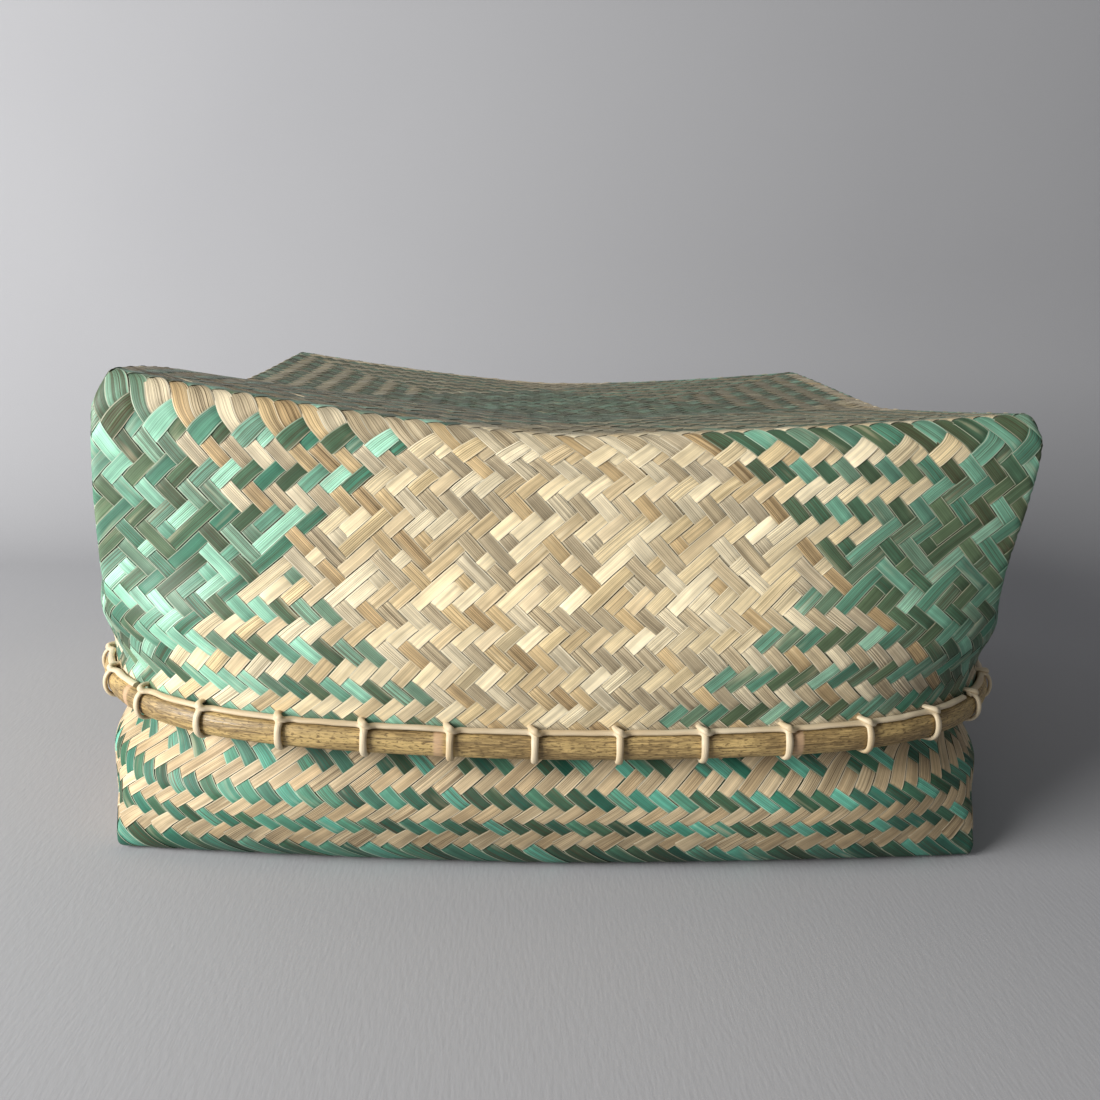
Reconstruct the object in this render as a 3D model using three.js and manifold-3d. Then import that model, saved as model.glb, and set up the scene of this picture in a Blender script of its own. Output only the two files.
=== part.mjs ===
// A lidded box plaited from split bamboo: a square-bottomed base and a deeper lid that slips down over it.
// Each half is two plaited layers, clamped at the rim between two bent bamboo hoops.
// Rattan strands lash the hoops.
// Millimetres, +Z up, origin at the middle of the underside, front towards -Y.
import * as THREE from "three";
import { mergeVertices } from "three/addons/utils/BufferGeometryUtils.js";
import Module from "manifold-3d";

const wasm = await Module();
wasm.setup();

// Layers and clearances
const weaveThickness = 0.9; // outer plaited layer, two crossing strips
const liningThickness = 0.9; // inner plaited layer
const layerGap = 0.3; // between pieces that bear on each other
const slideClearance = 0.6; // between the lid's rim and the base that it slips over

// Base sizes. A section's side is its half width at the middle of a side. Its bow is how much less the half
// width is at the corners. A flare is how far its side stands out from the side of the base's rim, or of the
// lid's seat, where the lid rests on the lashing round the base's rim.
const baseHeight = 104;
const baseRimSide = 150.2;
const baseRimBow = 17.2;
const baseSkirtHeight = 42; // just below the closed lid's rim
const baseSkirtFlare = 12.6;
const baseSkirtBow = 25.3;
const baseSwellHeight = 26; // the widest part of the base
const baseSwellFlare = 18.8;
const baseSwellBow = 23;
const baseLowHeight = 10;
const baseLowFlare = 14.8;
const baseLowBow = 15;
const baseFootHeight = 1.5;
const baseFootFlare = 9.8;
const baseFootBow = 9;
const baseSoleFlare = 7.3;
const baseSoleBow = 8.5;

// Lid sizes
const lidRimHeight = 44.5; // rim edge above the floor, middle of a side
const lidRimCornerRise = 4; // how much higher the rim edge runs at the corners
const lidWaistHeight = 82;
const lidWaistFlare = 8.5;
const lidWaistBow = 18;
const lidSeatBow = 7.5;
const lidShoulderDrop = 15; // from lidFoldHeight down to the shoulder
const lidShoulderFlare = -2;
const lidShoulderBow = 3.5;
const lidBrowDrop = 3.5;
const lidBrowFlare = -3;
const lidBrowBow = 2;
const lidFoldHeight = 145; // level the ridges are measured from
const lidFoldFlare = -6;
const lidFoldBow = 3;
const lidTopDip = 5; // the middle of the top sheet lies this far below lidFoldHeight
const hornNarrowness = 6; // power by which a horn's bend dies away along the ridges
const lidLean = 3.5; // above its seat on the base the lid leans over, this far towards +X at the ridges
// Each horned corner: how far it stands above lidFoldHeight and how far its tip is bent in
const hornFrontLeft = { rise: 20, bend: 5 };
const hornFrontRight = { rise: 13, bend: 0 };
const hornBackRight = { rise: 12, bend: 1 };
const hornBackLeft = { rise: 16.5, bend: 1 };
// Each ridge: how far its middle stands above lidFoldHeight, and how late its rise to either horn begins
const ridgeFront = { rise: 2, lateness: [1.4, 1.3] };
const ridgeRight = { rise: 2.5, lateness: [1.2, 1.2] };
const ridgeBack = { rise: 1.2, lateness: [1.6, 1.4] };
const ridgeLeft = { rise: 5.5, lateness: [1.7, 0.5] };

// How far a section's side has turned from straight when it meets the corner, in degrees; 45 is fully round
const turnRound = 45;
const turnSwell = 42;
const turnLow = 22;
const turnSharp = 5;
const turnWaist = 38;
const turnSeat = 14;

// Rims
const collarHeight = 15; // straight band of weave that the hoops clamp
const lidHoopHeight = 8.5;
const lidHoopThickness = 4;
const baseHoopHeight = 8;
const baseHoopThickness = 3;
const innerHoopThickness = 1.8;
const innerHoopInset = 0.3; // the inner hoop sits back from the rim edge
const hoopLap = 42; // length over which a hoop's thinned ends lie on each other
const lapEndThickness = 0.7; // thickness left at a thinned end
const lapStep = 3; // beyond the lap a hoop is back to its full thickness within this length

// Rattan lashing
const strandDiameter = 1.8;
const lidStations = 44;
const baseStations = 12;
const stationShift = -7; // first station from the middle of the front
const awlHoleWidth = 2.6; // four-sided hole that an awl opens between the strips
const tuckLength = 2.6; // a strand's end stops this far short of where the next strand's first loop turns
const strandSides = 5;
const runStandOff = 0.8; // between the weave and a strand that runs along it

// Facets
const sideSteps = 10; // segments along each side of a section

const strandRadius = strandDiameter / 2;
const lidShoulderHeight = lidFoldHeight - lidShoulderDrop;
const lidBrowHeight = lidFoldHeight - lidBrowDrop;
const sideNames = ["front", "right", "back", "left"];
const ridgesInOrder = [ridgeFront, ridgeRight, ridgeBack, ridgeLeft];
const hornsInOrder = [hornFrontLeft, hornFrontRight, hornBackRight, hornBackLeft];

// Materials
function finish(colour, roughness) {
  return new THREE.MeshStandardMaterial({ color: colour, roughness, metalness: 0 });
}
const greenWeave = finish(0x6fb59a, 0.5);
const naturalWeave = finish(0xd9c08c, 0.6);
const splitBamboo = finish(0x8c7440, 0.55);
const innerBamboo = finish(0xb89a63, 0.6);
const rattan = finish(0xdac6a0, 0.5);

// Plan sections

// Steps along a side, closer together towards the corners.
const sideFractions = Array.from({ length: sideSteps }, (_, i) =>
  Math.sin((Math.PI * (2 * i - sideSteps)) / (2 * sideSteps)),
);

// The point of a section at fraction u of a side: the side bows from its corners out to its middle.
function sectionPoint(section, sideIndex, u) {
  const corner = section.side - section.bow;
  const power = (corner * Math.tan(THREE.MathUtils.degToRad(section.turn))) / section.bow;
  const out = section.side - section.bow * Math.abs(u) ** power;
  const along = corner * u;
  return new THREE.Vector2(along, -out).rotateAround(new THREE.Vector2(), (sideIndex * Math.PI) / 2);
}

// Every vertex of a section in plan, anticlockwise from the front left corner.
function sectionPlan(section) {
  return sideNames.flatMap((_, sideIndex) => sideFractions.map((u) => sectionPoint(section, sideIndex, u)));
}

// Outward steps that move each vertex of a plan so that its sides shift by one unit.
function outwardSteps(plan) {
  const count = plan.length;
  return plan.map((point, i) => {
    const before = point.clone().sub(plan[(i + count - 1) % count]).normalize();
    const after = plan[(i + 1) % count].clone().sub(point).normalize();
    const normal = new THREE.Vector2(before.y + after.y, -before.x - after.x).normalize();
    const cosine = normal.dot(new THREE.Vector2(after.y, -after.x));
    return normal.divideScalar(cosine);
  });
}

function shiftedPlan(plan, distance) {
  const steps = outwardSteps(plan);
  return plan.map((point, i) => point.clone().addScaledVector(steps[i], distance));
}

// The horn that a place on a ridge is nearer to.
function hornNear(sideIndex, u) {
  return hornsInOrder[(sideIndex + (u > 0 ? 1 : 0)) % hornsInOrder.length];
}

// Height of the lid's ridge at fraction u of one side.
function lidRidgeHeight(sideIndex, u) {
  const ridge = ridgesInOrder[sideIndex];
  const lateness = ridge.lateness[u > 0 ? 1 : 0];
  const out = Math.abs(u);
  const share = lateness < 1 ? 1 - (1 - out) ** (1 / lateness) : out ** lateness;
  return lidFoldHeight + ridge.rise + share * (hornNear(sideIndex, u).rise - ridge.rise);
}

function lidEdgeHeight(u) {
  return lidRimHeight + lidRimCornerRise * Math.sin((Math.PI * u) / 2) ** 2;
}

// Side index and fraction of every vertex of a plan.
const vertexPlaces = sideNames.flatMap((_, sideIndex) => sideFractions.map((u) => ({ sideIndex, u })));

// Lid heights at each vertex of a ring whose height at the middle of a side is given.
function lidRingHeights(height) {
  const share = (height - lidRimHeight) / (lidFoldHeight - lidRimHeight);
  return vertexPlaces.map(({ sideIndex, u }) => {
    const edge = lidEdgeHeight(u);
    return edge + share * (lidRidgeHeight(sideIndex, u) - edge);
  });
}

function ring(plan, heights) {
  return plan.map((point, i) => new THREE.Vector3(point.x, point.y, heights[i]));
}

// How far each vertex of a lid ring is moved over by the lid's lean and by the bend of the horns.
function lidShifts(height) {
  const leaning = Math.max(0, (height - baseHeight) / (lidFoldHeight - baseHeight));
  const bending = Math.max(0, (height - lidShoulderHeight) / (lidFoldHeight - lidShoulderHeight));
  return vertexPlaces.map(({ sideIndex, u }) => {
    const tip = bending * hornNear(sideIndex, u).bend * Math.abs(u) ** hornNarrowness;
    const inwards = new THREE.Vector2(-Math.sign(u), 1).multiplyScalar(tip);
    inwards.rotateAround(new THREE.Vector2(), (sideIndex * Math.PI) / 2);
    return inwards.add(new THREE.Vector2(leaning * lidLean, 0));
  });
}

// The stacks of layers that fix one half's sections by the other's

const layersThickness = weaveThickness + layerGap + liningThickness;
const strandRoom = layerGap + strandDiameter;
// From the weave's outer face to the inner hoop's exposed face
const innerHoopDepth = layersThickness + layerGap + innerHoopThickness;
const baseRimPlan = sectionPlan({ side: baseRimSide, bow: baseRimBow, turn: turnRound });
const baseSkirtSide = baseRimSide + baseSkirtFlare;
const baseSkirtPlan = sectionPlan({ side: baseSkirtSide, bow: baseSkirtBow, turn: turnRound });
const lidRimPlan = shiftedPlan(baseSkirtPlan, slideClearance + strandRoom + innerHoopDepth);
// The lid comes to rest where its narrowing wall meets the lashing round the base's rim.
const lidSeatSide = baseRimSide + layerGap + baseHoopThickness + strandRoom + layerGap + layersThickness;

const lidRings = [
  { plan: lidRimPlan, height: lidRimHeight, drop: 0 },
  { plan: lidRimPlan, height: lidRimHeight + collarHeight, drop: 0 },
  { side: lidSeatSide + lidWaistFlare, bow: lidWaistBow, turn: turnWaist, height: lidWaistHeight, drop: 0 },
  { side: lidSeatSide, bow: lidSeatBow, turn: turnSeat, height: baseHeight, drop: 0 },
  {
    side: lidSeatSide + lidShoulderFlare,
    bow: lidShoulderBow,
    turn: turnSharp,
    height: lidShoulderHeight,
    drop: 0,
  },
  { side: lidSeatSide + lidBrowFlare, bow: lidBrowBow, turn: turnSharp, height: lidBrowHeight, drop: 0.6 },
  { side: lidSeatSide + lidFoldFlare, bow: lidFoldBow, turn: turnSharp, height: lidFoldHeight, drop: 1 },
];
const baseRings = [
  { plan: baseRimPlan, height: baseHeight, drop: 0 },
  { plan: baseRimPlan, height: baseHeight - collarHeight, drop: 0 },
  { plan: baseSkirtPlan, height: baseSkirtHeight, drop: 0 },
  {
    side: baseRimSide + baseSwellFlare,
    bow: baseSwellBow,
    turn: turnSwell,
    height: baseSwellHeight,
    drop: 0,
  },
  { side: baseRimSide + baseLowFlare, bow: baseLowBow, turn: turnLow, height: baseLowHeight, drop: 0 },
  { side: baseRimSide + baseFootFlare, bow: baseFootBow, turn: turnSharp, height: baseFootHeight, drop: 0.6 },
  { side: baseRimSide + baseSoleFlare, bow: baseSoleBow, turn: turnSharp, height: 0, drop: 1 },
];

// Surfaces are lists of corners, three to a triangle

function addQuad(corners, a, b, c, d, reversed) {
  if (reversed) corners.push(a, d, c, a, c, b);
  else corners.push(a, b, c, a, c, d);
}

function addBand(corners, lower, upper, reversed) {
  lower.forEach((point, i) => {
    const next = (i + 1) % lower.length;
    addQuad(corners, point, lower[next], upper[next], upper[i], reversed);
  });
}

// Top sheet of the lid: a grid hung between the ridge ring, its middle brought to a height.
function addTopSheet(corners, ridge, middleHeight, reversed) {
  const n = sideSteps;
  const fractions = [...sideFractions, 1];
  const at = (i) => ridge[i % ridge.length];
  const blend = (from, to, share) => from.clone().lerp(to, share);
  const hung = (i, j) => {
    const across = (1 + fractions[i]) / 2;
    const deep = (1 + fractions[j]) / 2;
    const sides = blend(at(i), at(3 * n - i), deep).add(blend(at(4 * n - j), at(n + j), across));
    return sides.sub(blend(blend(at(0), at(n), across), blend(at(3 * n), at(2 * n), across), deep));
  };
  const lift = middleHeight - hung(n / 2, n / 2).z;
  const point = (i, j) => {
    if (j === 0) return at(i);
    if (i === n) return at(n + j);
    if (j === n) return at(3 * n - i);
    if (i === 0) return at(4 * n - j);
    const placed = hung(i, j);
    placed.z += lift * (1 - fractions[i] ** 2) * (1 - fractions[j] ** 2);
    return placed;
  };
  for (let i = 0; i < n; i++) {
    for (let j = 0; j < n; j++) {
      addQuad(corners, point(i, j), point(i + 1, j), point(i + 1, j + 1), point(i, j + 1), reversed);
    }
  }
}

// Flat bottom sheet of the base.
function addSole(corners, edge, reversed) {
  const middle = new THREE.Vector3(0, 0, edge[0].z);
  edge.forEach((point, i) => {
    const next = edge[(i + 1) % edge.length];
    corners.push(middle, ...(reversed ? [point, next] : [next, point]));
  });
}

function surfaceOf(corners) {
  const geometry = new THREE.BufferGeometry().setFromPoints(corners);
  return mergeVertices(geometry, 1e-4);
}

// The lid's rings, moved in from its outer face by a depth.
function lidRingsAt(depth) {
  return lidRings.map((each) => {
    const plan = shiftedPlan(each.plan ?? sectionPlan(each), -depth);
    const shifts = lidShifts(each.height);
    const heights = lidRingHeights(each.height).map((z) => z - each.drop * depth);
    return ring(
      plan.map((point, i) => point.add(shifts[i])),
      heights,
    );
  });
}

// The base's rings, moved in from its outer face by a depth.
function baseRingsAt(depth) {
  return baseRings.map((each) => {
    const plan = shiftedPlan(each.plan ?? sectionPlan(each), -depth);
    return ring(
      plan,
      plan.map(() => each.height + each.drop * depth),
    );
  });
}

// A plaited layer between two depths: closed at the sheet end, open at the rim.
function lidLayer(...depths) {
  const corners = [];
  const faces = depths.map(lidRingsAt);
  faces.forEach((rings, inner) => {
    for (let i = 1; i < rings.length; i++) addBand(corners, rings[i - 1], rings[i], inner === 1);
    addTopSheet(corners, rings.at(-1), lidFoldHeight - lidTopDip - depths[inner], inner === 1);
  });
  addBand(corners, faces[1][0], faces[0][0], false);
  return surfaceOf(corners);
}

function baseLayer(...depths) {
  const corners = [];
  const faces = depths.map(baseRingsAt);
  faces.forEach((rings, inner) => {
    for (let i = 1; i < rings.length; i++) addBand(corners, rings[i], rings[i - 1], inner === 1);
    addSole(corners, rings.at(-1), inner === 1);
  });
  addBand(corners, faces[0][0], faces[1][0], false);
  return surfaceOf(corners);
}

// Rims

// A rim's course: places on it are given by distance along it, reach out from the weave's face
// and height in from the rim edge.
function rimCourse(plan, edgeHeights, inwards) {
  const steps = outwardSteps(plan);
  const count = plan.length;
  const starts = [0];
  plan.forEach((point, i) => starts.push(starts[i] + point.distanceTo(plan[(i + 1) % count])));
  const length = starts[count];
  // Distances start at the middle of the front.
  const origin = starts[sideSteps / 2];
  const locate = (distance) => {
    const wrapped = THREE.MathUtils.euclideanModulo(distance + origin, length);
    const i = starts.findLastIndex((start) => start <= wrapped);
    return { i, next: (i + 1) % count, share: (wrapped - starts[i]) / (starts[i + 1] - starts[i]) };
  };
  const at = (distance, reach, height) => {
    const { i, next, share } = locate(distance);
    const from = plan[i].clone().addScaledVector(steps[i], reach);
    const to = plan[next].clone().addScaledVector(steps[next], reach);
    const here = from.lerp(to, share);
    const edge = THREE.MathUtils.lerp(edgeHeights[i], edgeHeights[next], share);
    return new THREE.Vector3(here.x, here.y, edge + inwards * height);
  };
  // Distances of the plan's vertices that lie between two distances, with some room at each end.
  const verticesBetween = (from, to, room = 2) => {
    const lap = Math.floor((from + origin) / length);
    const found = [lap, lap + 1].flatMap((turns) =>
      starts.slice(0, count).map((start) => start - origin + turns * length),
    );
    return found.filter((distance) => distance > from + room && distance < to - room);
  };
  return { length, at, verticesBetween, inwards };
}

const lidRim = rimCourse(lidRimPlan, lidRingHeights(lidRimHeight), 1);
const baseRim = rimCourse(baseRimPlan, vertexPlaces.map(() => baseHeight), -1);

const outerHoopFace = layerGap; // reach of an outer hoop's flat face
const innerHoopFace = -innerHoopDepth; // reach of an inner hoop's exposed face

// A closed tube through rings of points, with flat ends.
function tubeThrough(rings) {
  const corners = [];
  for (let i = 1; i < rings.length; i++) addBand(corners, rings[i - 1], rings[i], false);
  const addEnd = (edge, reversed) => {
    for (let i = 1; i < edge.length - 1; i++) {
      corners.push(edge[0], ...(reversed ? [edge[i + 1], edge[i]] : [edge[i], edge[i + 1]]));
    }
  };
  addEnd(rings[0], true);
  addEnd(rings.at(-1), false);
  return surfaceOf(corners);
}

// A split bamboo hoop bent once round the rim. Its thinned ends lap at the middle of the back.
// profile(near, far) gives the section between two reaches, in order round the section.
function hoop(rim, thickness, nearFace, profile) {
  const lapMiddle = rim.length / 2;
  const first = lapMiddle - rim.length - hoopLap / 2;
  const last = lapMiddle + hoopLap / 2;
  const thin = lapEndThickness;
  const thick = thickness - lapEndThickness - layerGap;
  const farFace = nearFace + thickness;
  const starting = [
    [first, nearFace, nearFace + thin],
    [first + hoopLap / 2, nearFace, nearFace + (thin + thick) / 2],
    [first + hoopLap, nearFace, nearFace + thick],
    [first + hoopLap + lapStep, nearFace, farFace],
  ];
  const ending = [
    [last - hoopLap - lapStep, nearFace, farFace],
    [last - hoopLap, farFace - thick, farFace],
    [last - hoopLap / 2, farFace - (thin + thick) / 2, farFace],
    [last, farFace - thin, farFace],
  ];
  const middle = rim
    .verticesBetween(starting.at(-1)[0], ending[0][0])
    .map((distance) => [distance, nearFace, farFace]);
  const rings = [...starting, ...middle, ...ending].map(([distance, near, far]) =>
    profile(near, far).map(([reach, height]) => rim.at(distance, reach, height)),
  );
  return tubeThrough(rim.inwards > 0 ? rings.map((each) => each.reverse()) : rings);
}

// Half-round section, flat against the weave and rounded outside. Where the hoop is thinned its section
// stays within the full one.
function halfRound(hoopHeight, hoopThickness) {
  const shoulder = 0.45; // share of the thickness where the round begins
  const lip = 0.02; // shares of the height by which the section has narrowed there and at its crown
  const crown = 0.28;
  const narrowing = (reach) => {
    const share = (reach - outerHoopFace) / hoopThickness;
    if (share < shoulder) return (lip * share) / shoulder;
    return lip + ((crown - lip) * (share - shoulder)) / (1 - shoulder);
  };
  return (near, far) => {
    const reaches = [near, near + (far - near) * shoulder, far];
    const lower = reaches.map((reach) => [reach, hoopHeight * narrowing(reach)]);
    const upper = reaches.map((reach) => [reach, hoopHeight * (1 - narrowing(reach))]);
    return [...lower, ...upper.reverse()];
  };
}

// Flat strip with its far edges eased.
function flatStrip(hoopHeight) {
  const easing = 0.7;
  const low = innerHoopInset;
  const high = hoopHeight - innerHoopInset;
  return (near, far) => {
    const ease = Math.min(easing, far - near);
    return [
      [near, low + ease],
      [near + ease, low],
      [far, low],
      [far, high],
      [near + ease, high],
      [near, high - ease],
    ];
  };
}

// Lashing strands

const holeHeightOver = (hoopHeight) => hoopHeight + layerGap + strandDiameter * 2;
const runReach = strandRadius + runStandOff;
const throughReach = -(innerHoopDepth + layerGap + strandRadius);
const edgeOverrun = -(layerGap + strandRadius);

// One station of the lid's lashing, as [along, reach, height]: down over the outer hoop, under the edge,
// up inside, out through the awl hole, then over itself in a hitch and on along the hoop.
function hitchedStation(hoopHeight, hoopThickness) {
  const face = outerHoopFace + hoopThickness + layerGap + strandRadius;
  const run = hoopHeight + layerGap + strandRadius;
  const hole = holeHeightOver(hoopHeight);
  return [
    [-3.2, runReach, run],
    [-1, face - 2.1, run],
    [0, face, hoopHeight - 1.2],
    [0, face, 1.2],
    [0, face - 1.6, edgeOverrun],
    [0, throughReach + 1, edgeOverrun],
    [-0.3, throughReach, 0.2],
    [-1, throughReach, hoopHeight - 0.7],
    [-1.6, throughReach + 1.3, hole - 0.4],
    [-1.6, 1.2, hole],
    [-0.4, face - 1.7, hole - 0.3],
    [1.9, face - 0.3, run + 0.7],
    [3.4, face - 2.5, run],
    [5.6, runReach, run],
  ];
}

// One station of the base's lashing, plain: no hitch, because it slides inside the lid.
function plainStation(hoopHeight, hoopThickness) {
  const face = outerHoopFace + hoopThickness + layerGap + strandRadius;
  const run = hoopHeight + layerGap + strandRadius;
  const hole = holeHeightOver(hoopHeight);
  return [
    [-3, runReach, run],
    [-0.8, face - 1.5, run - 0.1],
    [0, face, hoopHeight - 1.2],
    [0, face, 1.2],
    [0, face - 1.6, edgeOverrun],
    [0, throughReach + 1, edgeOverrun],
    [0, throughReach, 0.2],
    [0.4, throughReach, hoopHeight - 0.7],
    [1, throughReach + 1.3, hole - 0.4],
    [1, 1, hole],
    [2.8, 2, hole - 1.1],
    [5, runReach, run],
  ];
}

// Centre line of the strand that lashes one quarter of the stations. It starts tucked under its first
// hitch and ends against the next strand's.
function strandCentreline(rim, stations, quarter, station) {
  const pitch = rim.length / stations;
  const perStrand = stations / sideNames.length;
  const firstStation = quarter * perStrand - Math.floor(perStrand / 2);
  const path = [];
  const place = (distance, reach, height) => path.push(rim.at(distance, reach, height));
  const [arrival, ...loop] = station;
  const departure = loop.at(-1);
  const [, reach, height] = arrival;
  for (let index = firstStation; index < firstStation + perStrand; index++) {
    const here = stationShift + index * pitch;
    const next = here + pitch;
    if (index > firstStation) place(here + arrival[0], reach, height);
    loop.forEach(([along, out, up]) => place(here + along, out, up));
    rim
      .verticesBetween(here + departure[0], next + arrival[0] - tuckLength)
      .forEach((distance) => place(distance, reach, height));
  }
  place(stationShift + (firstStation + perStrand) * pitch + arrival[0] - tuckLength, reach, height);
  return path;
}

// Rings of a round strand about a centre line, carried along it without twisting.
function strandRings(path) {
  let across = new THREE.Vector3();
  return path.map((point, i) => {
    const before = path[Math.max(i - 1, 0)];
    const after = path[Math.min(i + 1, path.length - 1)];
    const arriving = point.clone().sub(before).normalize();
    const leaving = after.clone().sub(point).normalize();
    const forwards = arriving.add(leaving).normalize();
    if (i === 0) across.set(0, 0, 1);
    across.addScaledVector(forwards, -across.dot(forwards)).normalize();
    const other = forwards.clone().cross(across);
    return Array.from({ length: strandSides }, (_, k) => {
      const angle = (2 * Math.PI * k) / strandSides;
      const around = across.clone().multiplyScalar(Math.cos(angle)).addScaledVector(other, Math.sin(angle));
      return point.clone().addScaledVector(around, strandRadius);
    });
  });
}

// Least gap between stretches of one strand that are more than a few diameters apart along it.
function leastSelfGap(path) {
  const spots = [];
  const spotSpacing = 0.4;
  const nearestAlong = 3.5 * strandDiameter;
  const farthestAlong = 60;
  path.slice(1).forEach((to, i) => {
    const count = Math.ceil(to.distanceTo(path[i]) / spotSpacing);
    for (let k = 0; k < count; k++) spots.push(path[i].clone().lerp(to, k / count));
  });
  let least = Infinity;
  spots.forEach((spot, i) => {
    spots.slice(i + nearestAlong / spotSpacing, i + farthestAlong / spotSpacing).forEach((other) => {
      least = Math.min(least, spot.distanceTo(other));
    });
  });
  return least - strandDiameter;
}

// Booleans

function solidOf(geometry) {
  const vertProperties = new Float32Array(geometry.attributes.position.array);
  const triVerts = new Uint32Array(geometry.index.array);
  return new wasm.Manifold(new wasm.Mesh({ numProp: 3, vertProperties, triVerts }));
}

function geometryOf(solid) {
  const mesh = solid.getMesh();
  return new THREE.BufferGeometry()
    .setAttribute("position", new THREE.BufferAttribute(new Float32Array(mesh.vertProperties), 3))
    .setIndex(new THREE.BufferAttribute(new Uint32Array(mesh.triVerts), 1));
}

// The four-sided holes that the strands pass through, one at each station.
function withAwlHoles(geometry, rim, stations, hoopHeight, station) {
  const hole = holeHeightOver(hoopHeight);
  const [along] = station.find(([, , height]) => height === hole);
  // Taken in this order the cutter's ends keep its faces outward on either half.
  const reaches = rim.inwards > 0 ? [throughReach, runReach] : [runReach, throughReach];
  const halfDiagonal = awlHoleWidth * Math.SQRT1_2;
  const diamond = [
    [0, -halfDiagonal],
    [halfDiagonal, 0],
    [0, halfDiagonal],
    [-halfDiagonal, 0],
  ];
  let left = solidOf(geometry);
  for (let index = 0; index < stations; index++) {
    const distance = stationShift + (index * rim.length) / stations + along;
    const ends = reaches.map((reach) =>
      diamond.map(([side, up]) => rim.at(distance + side, reach, hole + up)),
    );
    left = left.subtract(solidOf(tubeThrough(ends)));
  }
  return geometryOf(left);
}

// Assembly

const box = new THREE.Group();
const baseGroup = new THREE.Group();
const lidGroup = new THREE.Group();
box.add(baseGroup, lidGroup);

function addPiece(group, name, geometry, material) {
  const shaded = geometry.toNonIndexed();
  shaded.computeVertexNormals();
  const mesh = new THREE.Mesh(shaded, material);
  mesh.name = name;
  group.add(mesh);
}

const lidStation = hitchedStation(lidHoopHeight, lidHoopThickness);
const baseStation = plainStation(baseHoopHeight, baseHoopThickness);
const liningDepth = weaveThickness + layerGap;

const halves = [
  {
    name: "base",
    group: baseGroup,
    rim: baseRim,
    layer: baseLayer,
    stations: baseStations,
    station: baseStation,
    hoopHeight: baseHoopHeight,
    hoopThickness: baseHoopThickness,
  },
  {
    name: "lid",
    group: lidGroup,
    rim: lidRim,
    layer: lidLayer,
    stations: lidStations,
    station: lidStation,
    hoopHeight: lidHoopHeight,
    hoopThickness: lidHoopThickness,
  },
];

for (const half of halves) {
  const { name, group, rim, layer, stations, station, hoopHeight, hoopThickness } = half;
  const holed = (geometry) => withAwlHoles(geometry, rim, stations, hoopHeight, station);
  addPiece(group, name + "_weave", holed(layer(0, weaveThickness)), greenWeave);
  addPiece(group, name + "_lining", holed(layer(liningDepth, layersThickness)), naturalWeave);
  const outerHoop = hoop(rim, hoopThickness, outerHoopFace, halfRound(hoopHeight, hoopThickness));
  addPiece(group, name + "_outer_hoop", outerHoop, splitBamboo);
  const innerHoop = hoop(rim, innerHoopThickness, innerHoopFace, flatStrip(hoopHeight));
  addPiece(group, name + "_inner_hoop", innerHoop, innerBamboo);
  sideNames.forEach((sideName, quarter) => {
    const path = strandCentreline(rim, stations, quarter, station);
    console.log(`${name} ${sideName} strand: least gap to itself ${leastSelfGap(path).toFixed(2)} mm`);
    addPiece(group, `${name}_lashing_${sideName}`, tubeThrough(strandRings(path)), rattan);
  });
}

export default box;
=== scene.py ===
import math

import bpy
import numpy as np
from bpy.props import FloatProperty, FloatVectorProperty, PointerProperty
from mathutils import Matrix


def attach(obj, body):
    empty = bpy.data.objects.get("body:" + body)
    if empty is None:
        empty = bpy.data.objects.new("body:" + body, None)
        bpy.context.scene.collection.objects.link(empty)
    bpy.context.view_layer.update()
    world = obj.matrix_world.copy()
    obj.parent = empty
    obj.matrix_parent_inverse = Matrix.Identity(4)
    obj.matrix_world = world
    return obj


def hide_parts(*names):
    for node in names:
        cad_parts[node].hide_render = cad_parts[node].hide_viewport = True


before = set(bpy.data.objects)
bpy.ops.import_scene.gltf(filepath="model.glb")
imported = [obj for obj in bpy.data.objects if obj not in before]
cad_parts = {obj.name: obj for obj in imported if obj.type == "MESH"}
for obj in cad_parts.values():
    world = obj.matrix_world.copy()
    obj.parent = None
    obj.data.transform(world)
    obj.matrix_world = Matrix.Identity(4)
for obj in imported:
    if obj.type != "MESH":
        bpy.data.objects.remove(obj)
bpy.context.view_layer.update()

bl_info = {
    "name": "Plaited bamboo box",
    "version": (1, 0, 0),
    "blender": (4, 5, 0),
    "location": "3D View > Sidebar > Bamboo Box",
    "description": "Plaits a lidded bamboo box from single strips, with its lashed rims",
    "category": "Object",
}

# All lengths in the shape code are millimetres; a mesh is turned into metres when it is made.
MILLIMETRE = 0.001

# Sizes shared by every piece

STRIPS = 44  # strips that start on each side, for either half's outer layer
AROUND = 4 * STRIPS
SAMPLES = 240  # points along each side of a section

RIM_HEIGHT = 104.0
LID_RIM = 44.5
LID_RIM_CORNER_RISE = 4.0
FOLD = 145.0
COLLAR = 15.0

# Sections as (half width at the middle of a side, bow, turn at the corner in degrees, height)
BASE_SECTIONS = [
    (157.5, 8.5, 5, 0.0),
    (160.0, 9.0, 5, 1.5),
    (165.0, 15.0, 22, 10.0),
    (169.0, 23.0, 42, 26.0),
    (162.8, 25.3, 45, 42.0),
    (150.2, 17.2, 45, RIM_HEIGHT - COLLAR),
    (150.2, 17.2, 45, RIM_HEIGHT),
]
BASE_SKIRT = (162.8, 25.3, 45)
LID_RIM_STAND_OFF = 6.9  # from the base's skirt to the lid's outer face at the rim
LID_SECTIONS = [
    (None, None, None, LID_RIM),
    (None, None, None, LID_RIM + COLLAR),
    (166.5, 18.0, 38, 82.0),
    (158.0, 7.5, 14, RIM_HEIGHT),
    (156.0, 3.5, 5, 130.0),
    (155.0, 2.0, 5, 141.5),
    (152.0, 3.0, 5, FOLD),
]
LID_LEAN = 3.5
HORN_NARROWNESS = 6  # power by which a horn's bend dies away along its sides
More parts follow.
